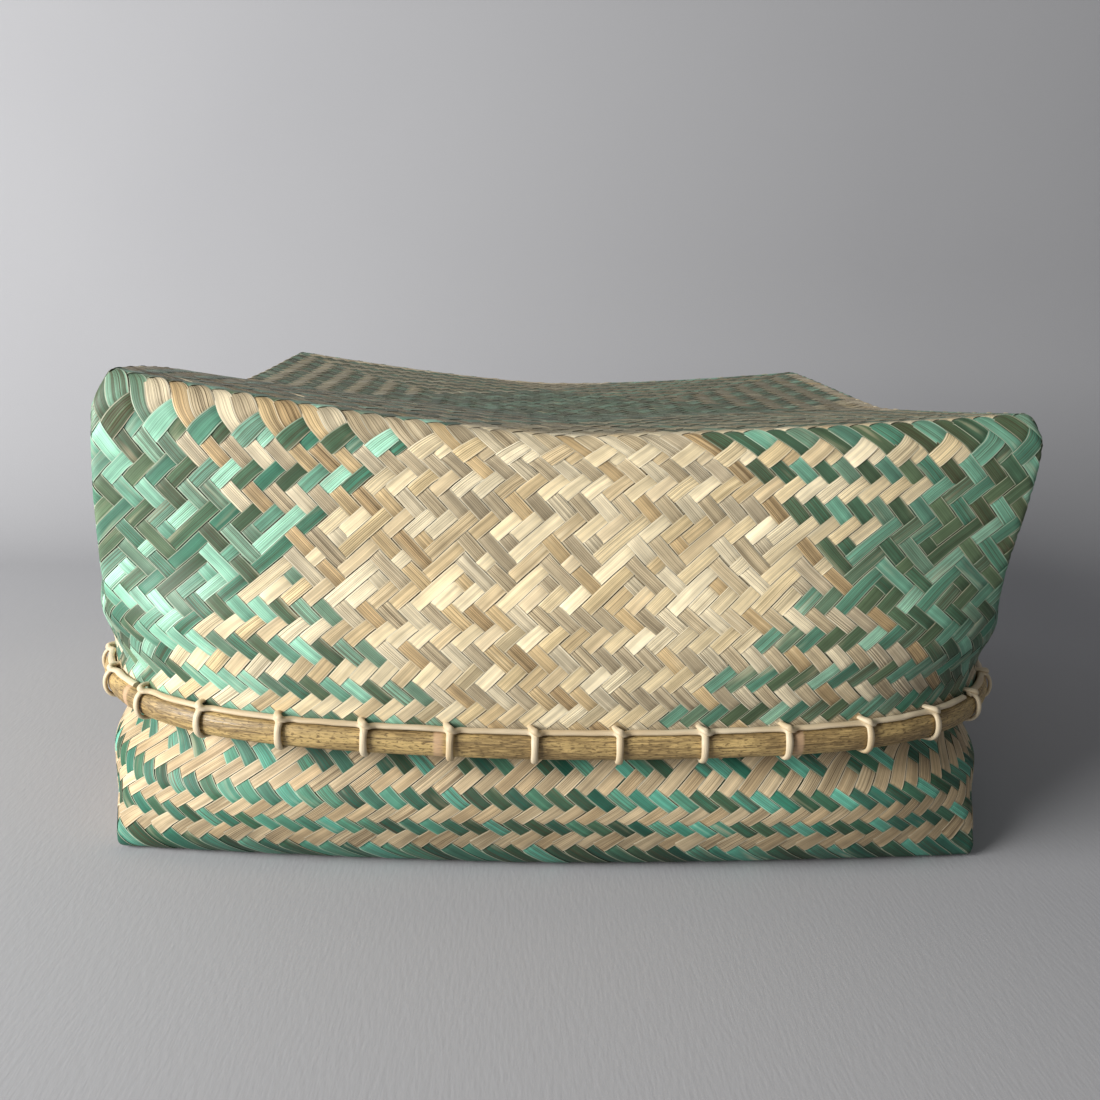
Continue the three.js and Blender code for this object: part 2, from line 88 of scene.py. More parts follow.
RISE_SHARPNESS = 15  # power by which the ridge's rise dies away down the wall
SHOULDER = 130.0  # height from which the horns bend in
# Horns in order front left, front right, back right, back left: (rise, bend)
HORNS = [(20, 1), (13, 0), (12, 1), (16.5, 1)]
# Ridges in order front, right, back, left: (rise at the middle, lateness towards either horn)
RIDGES = [(2.0, (1.4, 1.3)), (2.5, (1.2, 1.2)), (1.2, (1.6, 1.4)), (5.5, (1.7, 0.5))]
TOP_MIDDLE = FOLD - 5

# Rows of the plait, counted from the fold between wall and sheet, against height on the wall
LID_ROWS = [
    (0, FOLD), (0.5, 144.2), (2.5, 140.8), (4.5, 136.3), (6.5, 131.1), (8.5, 124.7),
    (10.5, 118.0), (12, 113.0), (14, 106.0), (16, 99.8), (17.5, 95.1), (19.5, 89.1),
    (21.5, 83.5), (23.5, 77.0), (25.5, 70.6), (27.5, 64.4), (29.5, 58.7), (34.5, LID_RIM),
]
BASE_ROWS = [
    (0, 0.0), (2.5, 6.5), (4.5, 13.0), (6.5, 18.2), (8.5, 23.3), (10.5, 28.6), (12.5, 34.3),
    (14.5, 40.0), (38, RIM_HEIGHT),
]

# Hoops
HOOPS = {"lid": (8.5, 4.0), "base": (8.0, 3.0)}  # height and thickness of the outer ones
INNER_HOOP_THICKNESS = 1.8
GAP = 0.3  # between pieces that lie on each other
LAYERS = 2.1  # thickness of the outer layer and the lining together
INNER_HOOP_DEPTH = LAYERS + GAP + INNER_HOOP_THICKNESS
HOOP_LAP = 42.0
LAP_END = 0.7  # thickness left at the thinned end of a lap
LAP_STEP = 3.0  # length over which the hoop steps over its own end
HOOP_SPACING = 1.6  # between the rings of a hoop's mesh
# Rings of the culm along the hoops, from the front's middle
CULM_NODES = [-152.0, -38.0, 78.0, 262.0, 520.0, -330.0, -575.0]
INNER_CULM_NODES = [90.0, -260.0, 430.0]
NODE_LENGTH = 1.5
NODE_SWELLING = 0.35
HOOP_WAVE, HOOP_WAVE_LENGTH = 0.06, 13.0

# Rattan
CANE_RADIUS = 0.9
RUN_STAND_OFF = 0.8
STATIONS = {"lid": 44, "base": 12}
STATION_SHIFT = -7.0
TUCK = 2.6  # how far short of the next hitch a run of cane is drawn, and each length ends
CANE_LANES = 10
LEAN_SPREAD = 0.12  # chance lean of a hitch
SWAY_SPREAD = 0.07  # chance rise and fall of the cane between hitches

SIDES = ["front", "right", "back", "left"]
QUARTER_TURNS = [(1, 0), (0, 1), (-1, 0), (0, -1)]  # cosine and sine of each

# The map of places along and across the fibres
FIBRE = "fibre"
FIBRE_SCALE = 0.1  # map units to a millimetre
STRIP_SPACING = 4.0  # map units from one strip's middle to the next
STRIP_OFFSET, LINING_OFFSET = 31, 17  # by how many millimetres neighbouring strips show other fibres


# Sections and courses

def turned(points, quarter):
    """Points in plan turned by a number of quarters."""
    cosine, sine = QUARTER_TURNS[quarter % 4]
    x, y = points[:, 0], points[:, 1]
    return np.stack([cosine * x - sine * y, sine * x + cosine * y], 1)


def run_lengths(points):
    """Length along a row of points, from 0 at the first."""
    return np.concatenate([[0], np.cumsum(np.linalg.norm(np.diff(points, axis=0), axis=1))])


def curve(t, start, leaving, end, arriving, lifted=0):
    """A smooth curve at t from 0 to 1, with its directions at both ends, lifted throughout."""
    return (
        lifted
        + (2 * t**3 - 3 * t**2 + 1) * start
        + (t**3 - 2 * t**2 + t) * leaving
        + (3 * t**2 - 2 * t**3) * end
        + (t**3 - t**2) * arriving
    )


def section_course(side, bow, turn):
    """A section in plan at even steps along each side, and how far along its side, -1 to 1, each point is."""
    corner = side - bow
    power = corner * math.tan(math.radians(turn)) / bow
    share = np.linspace(-1, 1, 1201)
    fine = np.stack([corner * share, -(side - bow * np.abs(share) ** power)], 1)
    length = run_lengths(fine)
    even = np.linspace(0, length[-1], SAMPLES + 1)[:-1]
    places = np.interp(even, length, share)
    points = np.stack([np.interp(even, length, fine[:, axis]) for axis in (0, 1)], 1)
    return np.concatenate([turned(points, k) for k in range(4)]), np.tile(places, 4)


def outward(plan):
    """Unit normals of a closed course, pointing out."""
    along = np.roll(plan, -1, 0) - np.roll(plan, 1, 0)
    normal = np.stack([along[:, 1], -along[:, 0]], 1)
    return normal / np.linalg.norm(normal, axis=1, keepdims=True)


def eased(values, passes=1):
    """A closed course with its corners slightly rounded, as a plait can't turn on a point."""
    for _ in range(passes):
        values = 0.25 * np.roll(values, 1, 0) + 0.5 * values + 0.25 * np.roll(values, -1, 0)
    return values


def ridge_heights(places):
    """Height of the lid's ridge all round."""
    heights = np.empty(4 * SAMPLES)
    for k in range(4):
        here = slice(k * SAMPLES, (k + 1) * SAMPLES)
        share_along = places[here]
        rise, lateness = RIDGES[k]
        for towards in (0, 1):
            chosen = share_along > 0 if towards else share_along <= 0
            out = np.abs(share_along[chosen])
            late = lateness[towards]
            share = 1 - (1 - out) ** (1 / late) if late < 1 else out ** late
            horn = HORNS[(k + towards) % 4][0]
            heights[np.flatnonzero(chosen) + k * SAMPLES] = FOLD + rise + share * (horn - rise)
    return heights


def lid_rings():
    """The lid's rings from the rim up to the fold."""
    skirt, skirt_places = section_course(*BASE_SKIRT)
    rim = skirt + outward(skirt) * LID_RIM_STAND_OFF
    rings = []
    for side, bow, turn, height in LID_SECTIONS:
        plan, places = (rim, skirt_places) if side is None else section_course(side, bow, turn)
        leaning = max(0.0, (height - RIM_HEIGHT) / (FOLD - RIM_HEIGHT))
        bending = max(0.0, (height - SHOULDER) / (FOLD - SHOULDER))
        shift = np.zeros_like(plan)
        for k in range(4):
            here = slice(k * SAMPLES, (k + 1) * SAMPLES)
            share = places[here]
            most = np.where(share > 0, HORNS[(k + 1) % 4][1], HORNS[k][1])
            bend = most * np.abs(share) ** HORN_NARROWNESS
            inwards = np.stack([-np.sign(share) * bend * bending, bend * bending], 1)
            shift[here] = turned(inwards, k)
        shift[:, 0] += leaning * LID_LEAN
        edge = LID_RIM + LID_RIM_CORNER_RISE * np.sin(np.pi * places / 2) ** 2
        share_up = (height - LID_RIM) / (FOLD - LID_RIM)
        z = edge + share_up * (FOLD - edge)
        rings.append(eased(np.column_stack([plan + shift, z])))
    rises = eased(ridge_heights(places) - FOLD)
    return np.array(rings), np.array([each[3] for each in LID_SECTIONS]), rises


def base_rings():
    """The base's rings from the sole up to the rim."""
    rings = []
    for side, bow, turn, height in BASE_SECTIONS:
        plan, _ = section_course(side, bow, turn)
        rings.append(eased(np.column_stack([plan, np.full(len(plan), height)])))
    return np.array(rings), np.array([each[3] for each in BASE_SECTIONS]), np.zeros(4 * SAMPLES)


def ring_slopes(rings, heights):
    """Slopes at every ring with which the wall passes smoothly through the rings and doesn't overshoot."""
    step = np.diff(heights)[:, None, None]
    rise = np.diff(rings, axis=0) / step
    slopes = np.empty_like(rings)
    slopes[0], slopes[-1] = rise[0], rise[-1]
    before, after = rise[:-1], rise[1:]
    first, second = 2 * step[1:] + step[:-1], step[1:] + 2 * step[:-1]
    with np.errstate(divide="ignore", invalid="ignore"):
        mean = (first + second) / (first / before + second / after)
    slopes[1:-1] = np.where(before * after > 0, mean, 0)
    return slopes


class Half:
    """The outer face of one half of the box: its wall and its closed sheet, as one unfolded square.

    Places are given in strips: X and Y from 0 to STRIPS on the sheet. Beyond its edges lies the wall.
    """

    def __init__(self, rings, heights, rises, rows, closed_height, facing):
        """Takes the half's rings, its ridge, its rows and the height of its closed sheet's middle."""
        self.rings = rings
        self.heights = heights
        self.slopes = ring_slopes(rings, heights)
        self.rows = np.array(rows)
        self.facing = facing  # +1 where the sheet faces up, -1 where it faces down
        self.rises = rises[:, None]
        self.fold = (rings[-1] if facing > 0 else rings[0]) + self.rises * [0, 0, 1]
        self.lift = 0.0
        middle = self.sheet(np.array([0.5]), np.array([0.5]))
        self.lift = closed_height - middle[0, 2]
        self.depth_limit = self.rows[-1, 0] / 2

    def on_course(self, course, around):
        """Points of closed courses at places around, in strips from the front left corner."""
        index = np.mod(around, AROUND) / AROUND * (4 * SAMPLES)
        low = np.floor(index).astype(int)
        share = (index - low)[:, None]
        low %= 4 * SAMPLES
        return course[..., low, :] * (1 - share) + course[..., (low + 1) % (4 * SAMPLES), :] * share

    def wall(self, around, depth):
        """Points of the wall at a depth from the fold, in strips."""
        height = np.interp(depth * 2, self.rows[:, 0], self.rows[:, 1])
        i = np.clip(np.searchsorted(self.heights, height, side="right") - 1, 0, len(self.heights) - 2)
        step = self.heights[i + 1] - self.heights[i]
        t = ((height - self.heights[i]) / step)[:, None]
        rings = self.on_course(self.rings, around)
        slopes = self.on_course(self.slopes, around)
        each = np.arange(len(around))
        start, end = rings[i, each], rings[i + 1, each]
        leaving, arriving = slopes[i, each] * step[:, None], slopes[i + 1, each] * step[:, None]
        # The rise of the ridge is taken up by the last rows below the fold.
        share_up = (height - self.heights[0]) / (self.heights[-1] - self.heights[0])
        rise = self.on_course(self.rises, around) * share_up[:, None] ** RISE_SHARPNESS * [0, 0, 1]
        return curve(t, start, leaving, end, arriving, rise)

    def sheet(self, across, deep):
        """Points of the closed sheet, hung between its four edges; across and deep run from 0 to 1."""
        x, y = across[:, None], deep[:, None]
        front = self.on_course(self.fold, across * STRIPS)
        right = self.on_course(self.fold, (1 + deep) * STRIPS)
        back = self.on_course(self.fold, (3 - across) * STRIPS)
        left = self.on_course(self.fold, (4 - deep) * STRIPS)
        corners = self.on_course(self.fold, np.array([0.0, 1.0, 2.0, 3.0]) * STRIPS)
        near_edge = (1 - x) * corners[0] + x * corners[1]
        far_edge = (1 - x) * corners[3] + x * corners[2]
        flat = (1 - y) * near_edge + y * far_edge
        points = (1 - y) * front + y * back + (1 - x) * left + x * right - flat
        points[:, 2] += self.lift * (1 - (2 * across - 1) ** 2) * (1 - (2 * deep - 1) ** 2)
        return points

    def unfolded(self, quarter, x, y):
        """Points for places on the unfolded square, seen from the side numbered quarter."""
        points = np.empty((len(x), 3))
        near = y < 0
        far = ~near & (x > STRIPS)
        inner = ~near & ~far
        if near.any():
            points[near] = self.wall(STRIPS * quarter + x[near], -y[near])
        if far.any():
            points[far] = self.wall(STRIPS * (quarter + 1) + y[far], x[far] - STRIPS)
        if inner.any():
            u, v = x[inner] / STRIPS - 0.5, y[inner] / STRIPS - 0.5
            cosine, sine = QUARTER_TURNS[quarter]
            across = np.clip(0.5 + cosine * u - sine * v, 0, 1)
            deep = np.clip(0.5 + sine * u + cosine * v, 0, 1)
            points[inner] = self.sheet(across, deep)
        return points

    def normals(self, quarter, x, y, reach=0.22):
        """Outward normals for places on the unfolded square."""
        along_x = self.unfolded(quarter, x + reach, y) - self.unfolded(quarter, x - reach, y)
        along_y = self.unfolded(quarter, x, y + reach) - self.unfolded(quarter, x, y - reach)
        normal = np.cross(along_x, along_y) * self.facing
        return normal / np.maximum(np.linalg.norm(normal, axis=1, keepdims=True), 1e-9)


HALVES = {
    "lid": Half(*lid_rings(), LID_ROWS, TOP_MIDDLE, 1),
    "base": Half(*base_rings(), BASE_ROWS, 0.0, -1),
}


# The plait

# Rows of the band of long and short floats, by which of four neighbouring rising strips is met. In each
# listed row the rising strip lies over.
FLOAT_BAND = {0: (5, 6), 1: (4,), 2: (2, 3), 3: (3, 4, 5)}
BAND_START, BAND_END = 12, 16
FOLD_ROWS = 4
# The base's twill is the lid's, counted down from a row and shifted along by some strips.
BASE_FROM_ROW, BASE_SHIFT = 30, 15


def rising_is_over(row, kind):
    """Whether the strip that rises to the right lies over, at a row below the fold."""
    if row < FOLD_ROWS:
        # At the fold the strips run in pairs.
        block = row if row % 2 == 1 else row + (1 if kind % 2 == 0 else -1)
        return block % 4 == 3
    if BAND_START <= row <= BAND_END:
        return (row - BAND_START + 2) in FLOAT_BAND[kind]
    if row > BAND_END:
        return (row - BAND_END - 1) % 4 < 2
    return row % 4 in (2, 3)


def lid_rule(step, row, rising_number):
    """Twill of the lid's wall; step is the strip pitch in the finest strips."""
    if step > 1:
        return row % 4 in (2, 3)
    return rising_is_over(row, int(math.floor(rising_number)) % 4)


def base_rule(step, row, rising_number):
    """Twill of the base's wall. Its band of floats begins just under the closed lid's rim."""
    if step > 1:
        return row % 4 in (2, 3)
    if row <= 3:
        return False
    return rising_is_over(BASE_FROM_ROW - row, int(math.floor(rising_number + BASE_SHIFT)) % 4)


def sheet_rule(distance):
    """Whether a strip that continues a rising one lies over on the sheet, by rows from the nearest edge."""
    return distance % 4 in (1, 2)


def strip_lays(half_name, start, step):
    """For one strip, 0 where it lies over and 1 where it lies under, at each crossing along it.

    Crossings are counted from where the strip passes its first fold; the count is in half pitches.
    """
    sheet_crossings = int(round(2 * (STRIPS - start) / step))
    wall_crossings = int(HALVES[half_name].depth_limit * 2 / step) + 1
    first_number, last_number = start / step, (STRIPS - start) / step
    lays = []
    for n in range(-wall_crossings, sheet_crossings + wall_crossings + 1):
        if n < 0:
            if half_name == "lid":
                over = lid_rule(step, -n, first_number)
            else:
                over = not base_rule(step, -n, first_number + n)
        elif n > sheet_crossings:
            row = n - sheet_crossings
            if half_name == "lid":
                over = not lid_rule(step, row, last_number + row)
            else:
                over = base_rule(step, row, last_number)
        else:
            x, y = start + n * step / 2, n * step / 2
            gaps = [y, STRIPS - x, STRIPS - y, x]
            side = int(np.argmin(gaps))
            rows = int(round(gaps[side] * 2 / step))
            continues = side % 2 == 0
            if half_name == "base":
                continues = not continues
            over = sheet_rule(rows) if continues else not sheet_rule(rows)
        lays.append(0.0 if over else 1.0)
    return np.array(lays), wall_crossings


# A strip's cross-section: places across it, their heights, and which of them are sharp edges
RIBBON_LANES = np.array([-1.0, -0.985, -0.5, 0.5, 0.985, 1.0])
RIBBON_PROFILE = np.array([-0.42, 0.0, 0.03, 0.03, 0.0, -0.42])
SHARP_LANES = (1, 4)
DIVE = 1.7  # how much more steeply than evenly a strip goes from over to under
# Depths of the wide floats below the fold, in strips, on a strip's first wall and on its second
FOLD_PAIRS = {"lid": (1.5, 0.5), "base": (0.7, 1.9)}
PAIR_LENGTH = 1.2
PAIR_WIDENING = 0.30
PAIR_SHIFT = 0.10
PAIR_RISE = 0.22
# How strips round the folds: the share by which one pass moves a point to the middle between its neighbours,
# the reach from the fold in strips, and the number of passes
FOLD_EASE, FOLD_REACH, FOLD_PASSES = 0.5, 1.1, 6
# Chance differences from strip to strip: of width and place, as shares of the pitch, and of tilt in mm
WIDTH_SPREAD, TILT_SPREAD = 0.012, 0.05
# How far a strip strays to and fro, as a share of the pitch, and over what length in strips
DRIFT, DRIFT_LENGTH = 0.018, 7.0
LINING_STEP = 2  # the lining's strips are this many times as wide apart as the outer ones
LINING_WIDTH = 0.975  # width of a lining strip as a share of its pitch
OUTER_PARTS, LINING_PARTS = 4, 3  # steps of a strip's mesh from one crossing to the next


def ribbon(half_name, quarter, start, step, width_share, over_depth, under_depth, parts, inside, jitter):
    """One strip as a grid of points, with its lay and lengths along it."""
    half = HALVES[half_name]
    lays, before = strip_lays(half_name, start, step)
    last = len(lays) - 1 - before
    crossing = np.linspace(-before, last, (last + before) * parts + 1)
    index = crossing + before
    low = np.clip(np.floor(index).astype(int), 0, len(lays) - 2)
    share = index - low
    share = np.clip(0.5 + (share - 0.5) * DIVE, 0, 1)
    share = share * share * (3 - 2 * share)
    lay = lays[low] * (1 - share) + lays[low + 1] * share
    t = crossing * step / 2
    # A strip's ends stop at the rim.
    limit = half.depth_limit
    t = np.clip(t, -limit, STRIPS - start + limit)
    keep = np.concatenate([[True], np.diff(t) > 1e-6])
    t, lay = t[keep], lay[keep]
    count = len(t)
    wander = jitter.normal(0, WIDTH_SPREAD)
    slow = jitter.uniform(0, 2 * math.pi)
    drift = wander + DRIFT * np.sin(t / DRIFT_LENGTH + slow)
    half_width = width_share * step / 2 * (1 + jitter.normal(0, WIDTH_SPREAD))
    upper = np.zeros(count)
    sheet_end = STRIPS - start
    if not inside:
        # At the folds every other strip lies wider, over part of its neighbour.
        first, second = FOLD_PAIRS[half_name]
        for middle, number in ((-first, start), (sheet_end + second, sheet_end)):
            if int(round(number - 0.5)) % 2 == 0:
                upper += np.exp(-(((t - middle) / PAIR_LENGTH) ** 4))
    lanes = RIBBON_LANES[None, :] * (half_width * (1 + PAIR_WIDENING * upper))[:, None]
    lanes = lanes + (drift * step + PAIR_SHIFT * upper)[:, None]
    along = start + 2 * t
    x = (along[:, None] + start + lanes) / 2
    y = (along[:, None] - start - lanes) / 2
    flat_x, flat_y = x.ravel(), y.ravel()
    points = half.unfolded(quarter, flat_x, flat_y).reshape(count, -1, 3)
    # A strip can't turn sharply, so it rounds the folds at both ends of the sheet.
    to_fold = np.minimum(np.abs(t), np.abs(t - sheet_end))[:, None, None]
    stiffness = FOLD_EASE * np.exp(-((to_fold / FOLD_REACH) ** 4))
    for _ in range(FOLD_PASSES):
        middle = points.copy()
        middle[1:-1] = 0.5 * (points[:-2] + points[2:])
        points = points + (middle - points) * stiffness
    normals = half.normals(quarter, flat_x, flat_y).reshape(count, -1, 3)
    depth = over_depth + (under_depth - over_depth) * lay - PAIR_RISE * upper * (1 - lay)
    tilt = jitter.normal(0, TILT_SPREAD)
    rise = RIBBON_PROFILE[None, :] + tilt * RIBBON_LANES[None, :]
    # Lining strips show their faces inwards.
    offset = -depth[:, None] + (-rise if inside else rise)
    points = points + normals * offset[:, :, None]
    return points, lay, run_lengths(points[:, 2])


def blend_colour(one, other, share):
    """A colour between two, as a list."""
    return [a + (b - a) * share for a, b in zip(one, other)]


def corner_quads(grid):
    """The four corners of each cell in a grid of vertex numbers."""
    return np.stack([grid[1:, :-1], grid[1:, 1:], grid[:-1, 1:], grid[:-1, :-1]], -1).reshape(-1, 4)


def grid_mesh(name, strips, flip):
    """A mesh of many strips, each as (points, lay, length, tint, number)."""
    vertices, faces, uvs, tints, lays = [], [], [], [], []
    base = 0
    for points, lay, length, tint, number in strips:
        rows, lanes = points.shape[:2]
        vertices.append(points.reshape(-1, 3) * MILLIMETRE)
        grid = base + np.arange(rows * lanes).reshape(rows, lanes)
        faces.append(corner_quads(grid) if flip else corner_quads(grid)[:, ::-1])
        across = np.broadcast_to(RIBBON_LANES[None, :], (rows, lanes))
        along = np.broadcast_to(length[:, None], (rows, lanes)) * FIBRE_SCALE
        uvs.append(np.stack([along, across + STRIP_SPACING * number], -1).reshape(-1, 2))
        tints.append(np.repeat(tint, lanes, axis=0))
        lays.append(np.repeat(lay, lanes))
        base += rows * lanes
    vertices, faces = np.concatenate(vertices), np.concatenate(faces)
    mesh = bpy.data.meshes.new(name)
    mesh.vertices.add(len(vertices))
    mesh.vertices.foreach_set("co", vertices.astype(np.float32).ravel())
    mesh.loops.add(faces.size)
    mesh.loops.foreach_set("vertex_index", faces.astype(np.int32).ravel())
    mesh.polygons.add(len(faces))
    mesh.polygons.foreach_set("loop_start", np.arange(0, faces.size, 4, dtype=np.int32))
    mesh.update(calc_edges=True)
    mesh.polygons.foreach_set("use_smooth", np.ones(len(faces), dtype=bool))
    layer = mesh.uv_layers.new(name=FIBRE)
    all_uvs = np.concatenate(uvs)
    layer.uv.foreach_set("vector", all_uvs[faces.ravel()].astype(np.float32).ravel())
    tint = mesh.attributes.new("tint", "FLOAT_COLOR", "POINT")
    tint.data.foreach_set("color", np.concatenate(tints).astype(np.float32).ravel())
    lay = mesh.attributes.new("lay", "FLOAT", "POINT")
    lay.data.foreach_set("value", np.concatenate(lays).astype(np.float32))
    ends = np.empty(len(mesh.edges) * 2, dtype=np.int32)
    mesh.edges.foreach_get("vertices", ends)
    lanes_met = ends.reshape(-1, 2) % len(RIBBON_LANES)
    crisp = (lanes_met[:, 0] == lanes_met[:, 1]) & np.isin(lanes_met[:, 0], SHARP_LANES)
    sharp = mesh.attributes.new("sharp_edge", "BOOLEAN", "EDGE")
    sharp.data.foreach_set("value", crisp)
    return mesh


def put_in_scene(name, data):
    """A new thing in the scene, from its mesh, light or camera."""
    thing = bpy.data.objects.new(name, data)
    bpy.context.scene.collection.objects.link(thing)
    return thing


def add_piece(name, mesh, material, body):
    """A finished piece of the box that moves with its half."""
    piece = put_in_scene(name, mesh)
    mesh.materials.append(material)
    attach(piece, body)
    return piece


# Rims: hoops and lashing

class Rim:
    """A rim's course: distance along it, reach out from the weave's face, height in from the rim edge."""

    def __init__(self, ring, inwards):
        """Takes the rim's edge; inwards is +1 where the weave lies above the edge and -1 where below."""
        self.ring = ring
        self.inwards = inwards
        self.starts = run_lengths(np.vstack([ring, ring[:1]])[:, :2])
        self.length = self.starts[-1]
        self.origin = self.starts[SAMPLES // 2]
        self.out = outward(ring[:, :2])

    def at(self, distance, reach, height):
        """Points on the course, with the outward direction at each."""
        wrapped = np.mod(distance + self.origin, self.length)
        i = np.clip(np.searchsorted(self.starts, wrapped, side="right") - 1, 0, 4 * SAMPLES - 1)
        following = (i + 1) % (4 * SAMPLES)
        share = ((wrapped - self.starts[i]) / (self.starts[i + 1] - self.starts[i]))[:, None]
        here = self.ring[i] * (1 - share) + self.ring[following] * share
        out = self.out[i] * (1 - share) + self.out[following] * share
        out = np.column_stack([out / np.linalg.norm(out, axis=1, keepdims=True), np.zeros(len(out))])
        points = here + out * reach[:, None]
        points[:, 2] += self.inwards * height
        return points, out


RIMS = {"lid": Rim(HALVES["lid"].rings[0], 1), "base": Rim(HALVES["base"].rings[-1], -1)}


def tube_mesh(name, grid, uv, flip=False, first_corner=0):
    """A tube with smooth walls and two flat ends, from its rings of points.

    The corner that comes first in each wall face sets the way in which the face is split in two.
    """
    rows, lanes = grid.shape[:2]
    number = np.arange(rows * lanes).reshape(rows, lanes)
    closed = np.concatenate([number, number[:, :1]], 1)
    walls = np.roll(corner_quads(closed), first_corner, axis=1)
    ends = np.stack([number[0], number[-1][::-1]])
    if flip:
        walls, ends = walls[:, ::-1], ends[:, ::-1]
    mesh = bpy.data.meshes.new(name)
    mesh.from_pydata((grid.reshape(-1, 3) * MILLIMETRE).tolist(), [], walls.tolist() + ends.tolist())
    mesh.polygons.foreach_set("use_smooth", [True] * len(walls) + [False] * len(ends))
    loops = np.array([loop.vertex_index for loop in mesh.loops])
    layer = mesh.uv_layers.new(name=FIBRE)
    layer.uv.foreach_set("vector", uv[loops].astype(np.float32).ravel())
    return mesh


def hoop_mesh(name, rim, hoop_height, thickness, near_face, outer, culm_nodes):
    """A split bamboo hoop bent once round the rim, its thinned ends lapped at the back."""
    lap_middle = rim.length / 2
    first = lap_middle - rim.length - HOOP_LAP / 2
    last = lap_middle + HOOP_LAP / 2
    thick = thickness - LAP_END - GAP
    distance = np.linspace(first, last, int((last - first) / HOOP_SPACING) + 1)
    far_face = near_face + thickness
    near = np.interp(
        distance,
        [first, last - HOOP_LAP - LAP_STEP, last - HOOP_LAP, last],
        [near_face, near_face, far_face - thick, far_face - LAP_END],
    )
    far = np.interp(
        distance,
        [first, first + HOOP_LAP, first + HOOP_LAP + LAP_STEP, last],
        [near_face + LAP_END, near_face + thick, far_face, far_face],
    )
    marks = np.zeros_like(distance)
    for place in culm_nodes:
        marks = np.maximum(marks, np.exp(-(((distance - place) / NODE_LENGTH) ** 2)))
    if outer:
        profile = [(0.0, 0.02)]
        for angle in np.linspace(-math.pi / 2, math.pi / 2, 11):
            round_share = math.cos(angle) ** 0.8 if abs(math.cos(angle)) > 1e-6 else 0.0
            profile.append((0.30 + 0.70 * round_share, 0.5 + 0.48 * math.sin(angle)))
        profile.append((0.0, 0.98))
    else:
        low, high = GAP / hoop_height, 1 - GAP / hoop_height
        ease = 0.06
        profile = [(1.0, low), (0.35, low), (0.0, low + ease)]
        profile += [(0.0, high - ease), (0.35, high), (1.0, high)]
    lanes = len(profile)
    rings = []
    for k, (out, up) in enumerate(profile):
        reach = near + (far - near) * out
        # Where the hoop is thinned its rounded face is pared down with it.
        swelling = NODE_SWELLING * marks * out if outer else 0.0
        wave = HOOP_WAVE * np.sin(distance / HOOP_WAVE_LENGTH + k) * out
        height = np.full_like(distance, hoop_height * up)
        points, _ = rim.at(distance, reach + swelling + wave, height)
        rings.append(points)
    across = np.array([k / (lanes - 1) for k in range(lanes)]) * hoop_height * 0.2
    uv = np.stack([np.repeat(distance * FIBRE_SCALE, lanes), np.tile(across, len(distance))], 1)
    mesh = tube_mesh(name, np.stack(rings, 1), uv, flip=(rim.inwards < 0) == outer)
    mark = mesh.attributes.new("mark", "FLOAT", "POINT")
    mark.data.foreach_set("value", np.repeat(marks, lanes).astype(np.float32))
    return mesh


def hitched_station(hoop_height, hoop_thickness):
    """One station of the lid's lashing as (along, reach, height) and the way the cane's flat face looks.

    The cane comes along the rim's edge, turns down over the hoop, under the rim and up behind it, comes out
    of an awl hole above the hoop and crosses over its own start.
    """
    front = GAP + hoop_thickness + 1.05
    run = hoop_height + 0.8
    through = -(INNER_HOOP_DEPTH + GAP + CANE_RADIUS)
    under = -0.7
    stand = CANE_RADIUS + RUN_STAND_OFF
    top = hoop_height
    return [
        (-3.4, stand, run, 0.3, 1.0),
        (-1.9, stand + 0.2, run, 0.4, 1.0),
        (-0.7, front - 2.8, top + 0.75, 0.6, 0.8),
        (0, front - 1.8, top + 0.1, 0.8, 0.6),
        (0, front - 0.6, top - 1.3, 0.95, 0.3),
        (0, front, top - 3.2, 1.0, 0.1),
        (0, front, 3.2, 1.0, -0.1),
        (0, front - 0.6, 1.3, 0.9, -0.4),
        (0, front - 1.9, -0.1, 0.6, -0.8),
        (0, front - 3.6, under, 0.1, -1.0),
        (0, through + 1, under, -0.3, -1.0),
        (-0.3, through, 0.4, -1.0, -0.3),
        (-0.8, through, top - 0.7, -1.0, 0.3),
        (-1.3, through + 1.3, top + 1.3, -0.4, 1.0),
        (-1.3, 0.9, top + 2.0, 0.3, 1.0),
        (-0.8, front - 2.8, top + 2.0, 0.6, 0.9),
        (0.1, front - 1.7, top + 1.7, 0.8, 0.8),
        (1.2, front - 2.0, top + 1.0, 0.7, 0.8),
        (2.2, stand + 0.7, top + 0.85, 0.4, 1.0),
        (3.4, stand, run, 0.3, 1.0),
    ]


def plain_station(hoop_height, hoop_thickness):
    """One station of the base's lashing, which lies flat because it slides inside the lid."""
    face = GAP + hoop_thickness + GAP + CANE_RADIUS
    run = hoop_height + GAP + CANE_RADIUS
    hole = hoop_height + GAP + 3.6
    through = -(INNER_HOOP_DEPTH + GAP + CANE_RADIUS)
    under = -(GAP + CANE_RADIUS)
    stand = CANE_RADIUS + RUN_STAND_OFF
    return [
        (-3, stand, run, 1.0, 0.1),
        (-0.8, face - 1.5, run - 0.1, 0.8, 0.6),
        (0, face, hoop_height - 1.2, 1.0, 0.3),
        (0, face, 1.2, 1.0, -0.3),
        (0, face - 1.6, under, 0.3, -1.0),
        (0, through + 1, under, -0.3, -1.0),
        (0, through, 0.2, -1.0, -0.3),
        (0.4, through, hoop_height - 0.7, -1.0, 0.3),
        (1, through + 1.3, hole - 0.4, -0.4, 1.0),
        (1, 1, hole, 0.5, 1.0),
        (2.8, 2, hole - 1.1, 0.9, 0.4),
        (5, stand, run, 1.0, 0.1),
    ]


